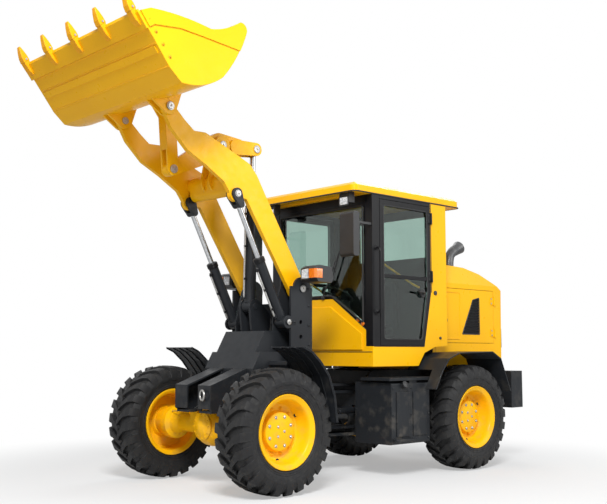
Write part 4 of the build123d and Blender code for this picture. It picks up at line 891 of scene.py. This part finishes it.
for hand, side_name in ((1.0, "left"), (-1.0, "right")):
    door = f"door_{side_name}"
    out = (0.0, hand, 0.0)
    parts = [lathe(spot(-0.862, hand * cab_side, 1.980), out,
                   [(-0.004, 0.046), (0.012, 0.046), (0.018, 0.038), (0.018, 0.022), (0.030, 0.018),
                    (0.032, 0.004)], 32)]
    grip = bend([spot(-0.862, hand * 0.822, 1.980), spot(-0.840, hand * 0.850, 1.990),
                 spot(-0.740, hand * 0.850, 2.000)], 0.015)
    parts.append(tube(grip, 0.011, 10))
    for height in (2.850, 2.180):
        for step in (-0.035, 0.035):
            parts += bolt(spot(-0.975, hand * 0.810, height + step), out, 0.008)
    add_piece(f"door_latch_{side_name}", parts, door, moulded_plastic)
    bar = bend([spot(-0.235, hand * 0.752, 2.300), spot(-0.262, hand * 0.745, 2.285),
                spot(-0.780, hand * 0.745, 2.075), spot(-0.840, hand * 0.775, 2.050)], 0.04)
    add_piece(f"door_bar_{side_name}", [tube(bar, 0.012, 12)], door, yellow_enamel)
    catch = [lathe(spot(forward, hand * fitting_side, height), out,
                   [(-0.002, size), (0.010, size), (0.013, size * 0.7), (0.013, 0.004)], 20)
             for forward, height, size in ((-1.09, 1.997, 0.026), (-1.17, 1.483, 0.016))]
    add_piece(f"cab_catch_{side_name}", catch, "rear", moulded_plastic)
    feet = []
    for height in (1.745, 2.445):
        feet.append(lathe(spot(-0.090, hand * fitting_side, height), out,
                          [(0.0, 0.030), (0.006, 0.030), (0.010, 0.018), (0.012, 0.014)], 20))
    add_piece(f"rail_feet_{side_name}", feet, "rear", black_enamel)
    face = facing(0.251, hand, ((0.695, 2.345), (0.865, 2.345), (0.865, 2.775), (0.695, 2.775)))
    add_piece(f"mirror_face_{side_name}", [prism(face[::int(hand)], (0.004, 0.0, 0.0))], "rear",
              hard_chrome, smooth=False, bevel=0.001)
drip = bend([spot(forward, across, 3.034) for forward, across in
             ((0.247, 0.0), (0.247, 0.803), (-1.583, 0.803), (-1.583, -0.803), (0.247, -0.803),
              (0.247, 0.0))], 0.07)
add_piece("roof_seal", [tube(drip, 0.008, 8)], "rear", window_rubber)
rib_shapes = []
for across in (-0.48, -0.16, 0.16, 0.48):
    rib = [spot(forward, across, 3.1405) for forward in (0.10, -0.60, -1.42)]
    rib_shapes.append(tube(rib, 0.011, 10))
add_piece("roof_ribs", rib_shapes, "rear", yellow_enamel)

# ---------------------------------------------------------------- seat and controls
# Suspension seat on a steel box: a crowned cushion and backrest in black
# woven cloth, their edges piped, with a sewn channel inside the border.
# Levers, console, dash and pedals are moulded plastic and bent rod.
seat_weave, tree, shader = surface("seat_weave", 0.9)
tint(tree, shader, 180.0, (0.010, 0.010, 0.012), (0.040, 0.040, 0.045))
relief(tree, shader, mottle(tree, 600.0, 0.0, 1.0), 0.5, 0.001)
pad_turn = np.linspace(0, 2 * np.pi, 56, endpoint=False)


def pad_ring(centre, wide, deep, lift, axes, share):
    """Rounded square drawn in by the share, its sides pulled in between the corners."""
    edge_x = np.sign(np.cos(pad_turn)) * np.abs(np.cos(pad_turn)) ** 0.42
    edge_y = np.sign(np.sin(pad_turn)) * np.abs(np.sin(pad_turn)) ** 0.42
    pull = 1.0 - 0.035 * np.cos(2 * pad_turn) ** 2
    first, second, third = (np.asarray(axis, float) for axis in axes)
    return (np.asarray(centre, float) + (edge_x * pull * wide * share)[:, None] * first
            + (edge_y * pull * deep * share)[:, None] * second + lift * third)


def crowned_pad(centre, wide, deep, thick, axes):
    """Cushion: flat below, full sides and a crowned top with a sewn channel inside its border."""
    rows = ((0.0, 0.02), (0.0, 0.93), (0.10, 0.985), (0.30, 1.0), (0.55, 1.0), (0.74, 0.975),
            (0.86, 0.92), (0.93, 0.84), (0.90, 0.76), (0.86, 0.735), (0.90, 0.71), (0.98, 0.62),
            (1.04, 0.45), (1.08, 0.25), (1.09, 0.02))
    rings = np.stack([pad_ring(centre, wide, deep, thick * rise, axes, share) for rise, share in rows])
    return capped(rings[::-1])


seat_middle = spot(-0.82, 0.0, 1.515)
back_middle = spot(-1.112, 0.0, 1.88)
floor_height = 1.2105
flat_axes = ((1.0, 0.0, 0.0), (0.0, 1.0, 0.0), (0.0, 0.0, 1.0))
back_axes = ((0.0, 1.0, 0.0), (0.08, 0.0, 1.0), (1.0, 0.0, -0.08))
cushion = add_piece("seat_cushion", [crowned_pad(seat_middle, 0.235, 0.245, 0.115, flat_axes)], "rear",
                    seat_weave, replaces=("seat",))
backrest = add_piece("seat_back", [crowned_pad(back_middle, 0.228, 0.305, 0.095, back_axes)],
                     "rear", seat_weave, replaces=("seat",))
piping = [tube(pad_ring(seat_middle, 0.238, 0.248, 0.063, flat_axes, 1.0), 0.005, 8, closed=True),
          tube(pad_ring(back_middle, 0.231, 0.308, 0.052, back_axes, 1.0), 0.005, 8,
               up=(1.0, 0.0, 0.0), closed=True)]
add_piece("seat_piping", piping, "rear", window_rubber)
box = [(0.17, 0.17), (0.17, -0.17), (-0.17, -0.17), (-0.17, 0.17)]
base = np.array([[spot(-0.82 + x * share, y * share, height) for x, y in box]
                 for height, share in ((floor_height, 1.0), (1.26, 1.0), (1.29, 0.86), (1.33, 0.94),
                                       (1.36, 0.82), (1.40, 0.94), (1.43, 0.86), (1.47, 1.0), (1.514, 1.0))])
pan = np.array([[spot(-0.82 + x * 1.25, y * 1.3, height) for x, y in box] for height in (1.490, 1.5145)])
shell = facing(-1.140, 1.0, ((0.19, 1.60), (0.215, 1.68), (0.215, 2.10), (0.17, 2.175), (-0.17, 2.175),
                             (-0.215, 2.10), (-0.215, 1.68), (-0.19, 1.60)))
add_piece("seat_base", [capped(base[:, ::-1]), capped(pan[:, ::-1]), prism(shell, (0.020, 0.0, 0.0))],
          "rear", moulded_plastic, smooth=False, bevel=0.006, replaces=("seat",))
levers = []
for across, lean in ((-0.30, 0.02), (-0.36, -0.01), (-0.42, 0.015)):
    foot = spot(-0.60, across, floor_height)
    top = spot(-0.56 + lean, across, 1.830)
    levers.append(tube(bend([foot, spot(-0.60, across, 1.60), top], 0.06), 0.007, 8, up=(0.0, 1.0, 0.0)))
    levers.append(lathe(top - (0.0, 0.0, 0.006), (0.0, 0.0, 1.0),
                        [(0.0, 0.010), (0.008, 0.019), (0.030, 0.024), (0.048, 0.019), (0.056, 0.004)], 20))
console = sideways(-0.27, ((-0.50, floor_height), (-0.50, 1.58), (-0.56, 1.64), (-0.78, 1.66),
                           (-0.90, 1.60), (-0.90, floor_height)))
add_piece("control_levers", levers + [prism(console, (0.0, -0.19, 0.0))], "rear", moulded_plastic,
          smooth=False, bevel=0.004)
dash = sideways(-0.30, ((-0.09, floor_height), (-0.09, 1.845), (-0.13, 1.905), (-0.19, 1.90),
                        (-0.225, 1.80), (-0.185, floor_height)))
add_piece("dash_panel", [prism(dash, (0.0, 0.60, 0.0))], "rear", cab_lining,
          smooth=False, bevel=0.008)
pedals = []
for across in (-0.17, 0.17):
    pad = [spot(-0.30, across - 0.045, 1.285), spot(-0.30, across + 0.045, 1.285),
           spot(-0.255, across + 0.045, 1.385), spot(-0.255, across - 0.045, 1.385)]
    pedals.append(prism(pad, (0.012, 0.0, -0.006)))
    stalk = sideways(across, ((-0.265, 1.34), (-0.215, 1.30), (-0.20, floor_height)))
    pedals.append(tube(stalk, 0.008, 8, up=(0.0, 1.0, 0.0)))
add_piece("pedals", pedals, "rear", moulded_plastic, smooth=False, bevel=0.003)

# ---------------------------------------------------------------- hood and rear
# Pressed hood with seams, side doors on hinges and latches, louvred vents
# over a dark sheet of painted shade, a barred grille before a dark sheet
# painted as the shade of its opening, and a flared exhaust.
finish_node("rear_grille", black_enamel)
hood_side = 0.6205
slat_back = 0.6105
slat_front = 0.6235
slat_end = -2.172
slat_drop = 0.012
# A dark sheet behind the grille paints the shade of the opening.
shade_sheet = facing(-2.600, 1.0, ((-0.47, 1.18), (0.47, 1.18), (0.47, 2.02), (-0.47, 2.02)))
add_piece("grille_backing", [prism(shade_sheet[::-1], (0.008, 0.0, 0.0))], "rear", dark_recess,
          smooth=False)
for hand, side_name in ((1.0, "left"), (-1.0, "right")):
    door = f"engine_door_{side_name}"
    out = (0.0, hand, 0.0)
    slats = []
    for height in np.arange(1.555, 1.98, 0.032):
        # the vent's front edge leans back by 0.22 in 0.42, and a short edge closes it above
        start = -1.838 - (height - 1.54) / 0.42 * 0.22
        if height > 1.955:
            start = -2.075
        slat = [spot(start, hand * slat_back, height), spot(slat_end, hand * slat_back, height),
                spot(slat_end, hand * slat_front, height - slat_drop),
                spot(start, hand * slat_front, height - slat_drop)]
        slats.append(prism(slat[::int(hand)], (0.0, 0.0, 0.007)))
    add_piece(f"vent_slats_{side_name}", slats, door, black_enamel, smooth=False)
    # A dark sheet behind the slats paints the shade inside the vent.
    shade_sheet = sideways(hand * 0.6101, ((-1.832, 1.542), (-2.051, 1.958), (-2.178, 1.988), (-2.178, 1.542)))
    add_piece(f"vent_shade_sheet_{side_name}", [prism(shade_sheet[::-int(hand)], (0.0, hand * 0.001, 0.0))],
              door, dark_recess, smooth=False)
    edge = sideways(hand * hood_side, ((-1.95, 1.540), (-2.180, 1.540), (-2.180, 1.990), (-2.050, 1.960),
                                       (-1.830, 1.540), (-1.95, 1.540)))
    latch = lathe(spot(-1.500, hand * hood_side, 1.700), out,
                  [(-0.002, 0.034), (0.008, 0.034), (0.012, 0.026), (0.012, 0.012), (0.018, 0.010)], 28)
    press = sideways(hand * hood_side, ((-1.60, 1.480), (-1.79, 1.480), (-1.79, 2.040), (-1.42, 2.040),
                                        (-1.42, 1.480), (-1.60, 1.480)))
    screws = []
    for height in (1.560, 1.960):
        for step in (-0.028, 0.028):
            screws += bolt(spot(-2.430, hand * 0.628, height + step), out, 0.007)
    add_piece(f"vent_frame_{side_name}", [tube(bend(edge, 0.012), 0.006, 8, up=(0.0, 1.0, 0.0)), latch],
              door, moulded_plastic)
    add_piece(f"door_press_{side_name}", [tube(bend(press, 0.03), 0.006, 8, up=(0.0, 1.0, 0.0))],
              door, yellow_enamel)
    add_piece(f"hinge_screws_{side_name}", screws, door, plated_steel, smooth=False)
ridge = [(-1.33, 2.4005), (-1.73, 2.3875), (-2.07, 2.3715), (-2.33, 2.3005), (-2.50, 2.2005)]
beads = [tube(sideways(across, ridge), 0.006, 8) for across in (-0.30, 0.30)]
add_piece("hood_beads", beads, "rear", yellow_enamel)
horn_across = 0.20
horn_wall = 0.004
horn = np.array(sideways(horn_across, ((-2.13, 2.36), (-2.13, 2.46), (-2.150, 2.545), (-2.205, 2.598),
                                       (-2.290, 2.640), (-2.350, 2.672))))
horn_radius = np.array([0.062, 0.062, 0.062, 0.064, 0.072, 0.084])
ahead = np.gradient(horn, axis=0)
ahead /= np.linalg.norm(ahead, axis=1, keepdims=True)
across = np.broadcast_to(np.array([0.0, 1.0, 0.0]), ahead.shape)
lift = np.cross(ahead, across)
turn = np.linspace(0, 2 * np.pi, 36, endpoint=False)
circle = np.cos(turn)[None, :, None] * across[:, None] + np.sin(turn)[None, :, None] * lift[:, None]
skin = horn[:, None] + horn_radius[:, None, None] * circle
bore = horn[:, None] + (horn_radius[:, None, None] - horn_wall) * circle
stack_metal, tree, shader = surface("stack_metal", 0.42, metallic=0.6)
tint(tree, shader, 16.0, (0.075, 0.080, 0.085), (0.14, 0.14, 0.14))
finish_node("exhaust_stack", stack_metal)
collar = lathe(spot(-2.13, horn_across, 2.362), (0.0, 0.0, 1.0),
               [(-0.004, 0.095), (0.006, 0.095), (0.012, 0.072), (0.040, 0.070), (0.042, 0.060)], 36)
add_piece("exhaust_horn", [capped(np.concatenate([skin, bore[::-1]])), collar], "rear", stack_metal,
          replaces=("exhaust_stack",))
plate_corners = ((0.58, 0.90), (0.74, 0.90), (0.74, 1.02), (0.58, 1.02))
plates = [prism(facing(-2.7815, hand, plate_corners)[::-int(hand)], (-0.002, 0.0, 0.0))
          for hand in (1.0, -1.0)]
add_piece("weight_plates", plates, "rear", yellow_enamel, smooth=False)
pin = lathe(spot(-2.720, 0.0, 1.090), (0.0, 0.0, 1.0),
            [(-0.480, 0.0145), (0.004, 0.0145), (0.004, 0.028), (0.016, 0.028), (0.018, 0.024),
             (0.018, 0.004)], 20)
eye = spot(-2.720, 0.0, 1.135) + np.stack([0.022 * np.cos(turn), 0.0 * turn, 0.022 * np.sin(turn)], -1)
add_piece("tow_pin", [pin, tube(eye, 0.005, 8, up=(0.1, 1.0, 0.2), closed=True)], "rear", plated_steel)
for name in ("engine_block", "transmission"):
    finish_node(name, stack_metal)

# ---------------------------------------------------------------- tanks and steps
# Fuel tank and battery box in dark sheet with pressed side panels held by
# bolts, a filler cap each, a ribbed tread plate above and a step of round bar
# below. The hoses behind the tower are black rubber.
tank_side = 0.951
shapes, caps, fittings = [], [], []
for hand in (1.0, -1.0):
    for ahead, behind in ((-0.22, -0.43), (-0.49, -0.71)):
        panel = sideways(hand * tank_side, ((ahead, 0.43), (ahead, 0.90), (behind, 0.90), (behind, 0.43)))
        shapes.append(prism(panel[::int(hand)], (0.0, hand * 0.010, 0.0)))
    for forward in (-0.17, -0.46, -0.75):
        for height in (0.40, 0.66, 0.94):
            fittings += bolt(spot(forward, hand * tank_side, height), (0.0, hand, 0.0), 0.009)
    for step in np.arange(9) * 0.085:
        bar = [spot(-0.14 - step, hand * across, 1.0515) for across in (0.58, 0.76, 0.945)]
        fittings.append(tube(bar, 0.005, 6))
    rung = bend([spot(-0.17, hand * 0.945, 0.40), spot(-0.17, hand * 1.010, 0.40),
                 spot(-0.46, hand * 1.010, 0.40), spot(-0.46, hand * 0.945, 0.40)], 0.02)
    fittings.append(tube(rung, 0.012, 10))
    caps.append(lathe(spot(-0.33, hand * 0.955, 0.965), (0.0, hand, 0.5),
                      [(-0.02, 0.028), (0.018, 0.028), (0.020, 0.038), (0.040, 0.038), (0.044, 0.032),
                       (0.046, 0.004)], 28))
add_piece("tank_panels", shapes, "rear", dark_enamel, smooth=False, bevel=0.006)
add_piece("tank_fittings", fittings, "rear", dark_enamel, smooth=False)
add_piece("filler_caps", caps, "rear", moulded_plastic)
finish_node("tower_hoses", window_rubber)
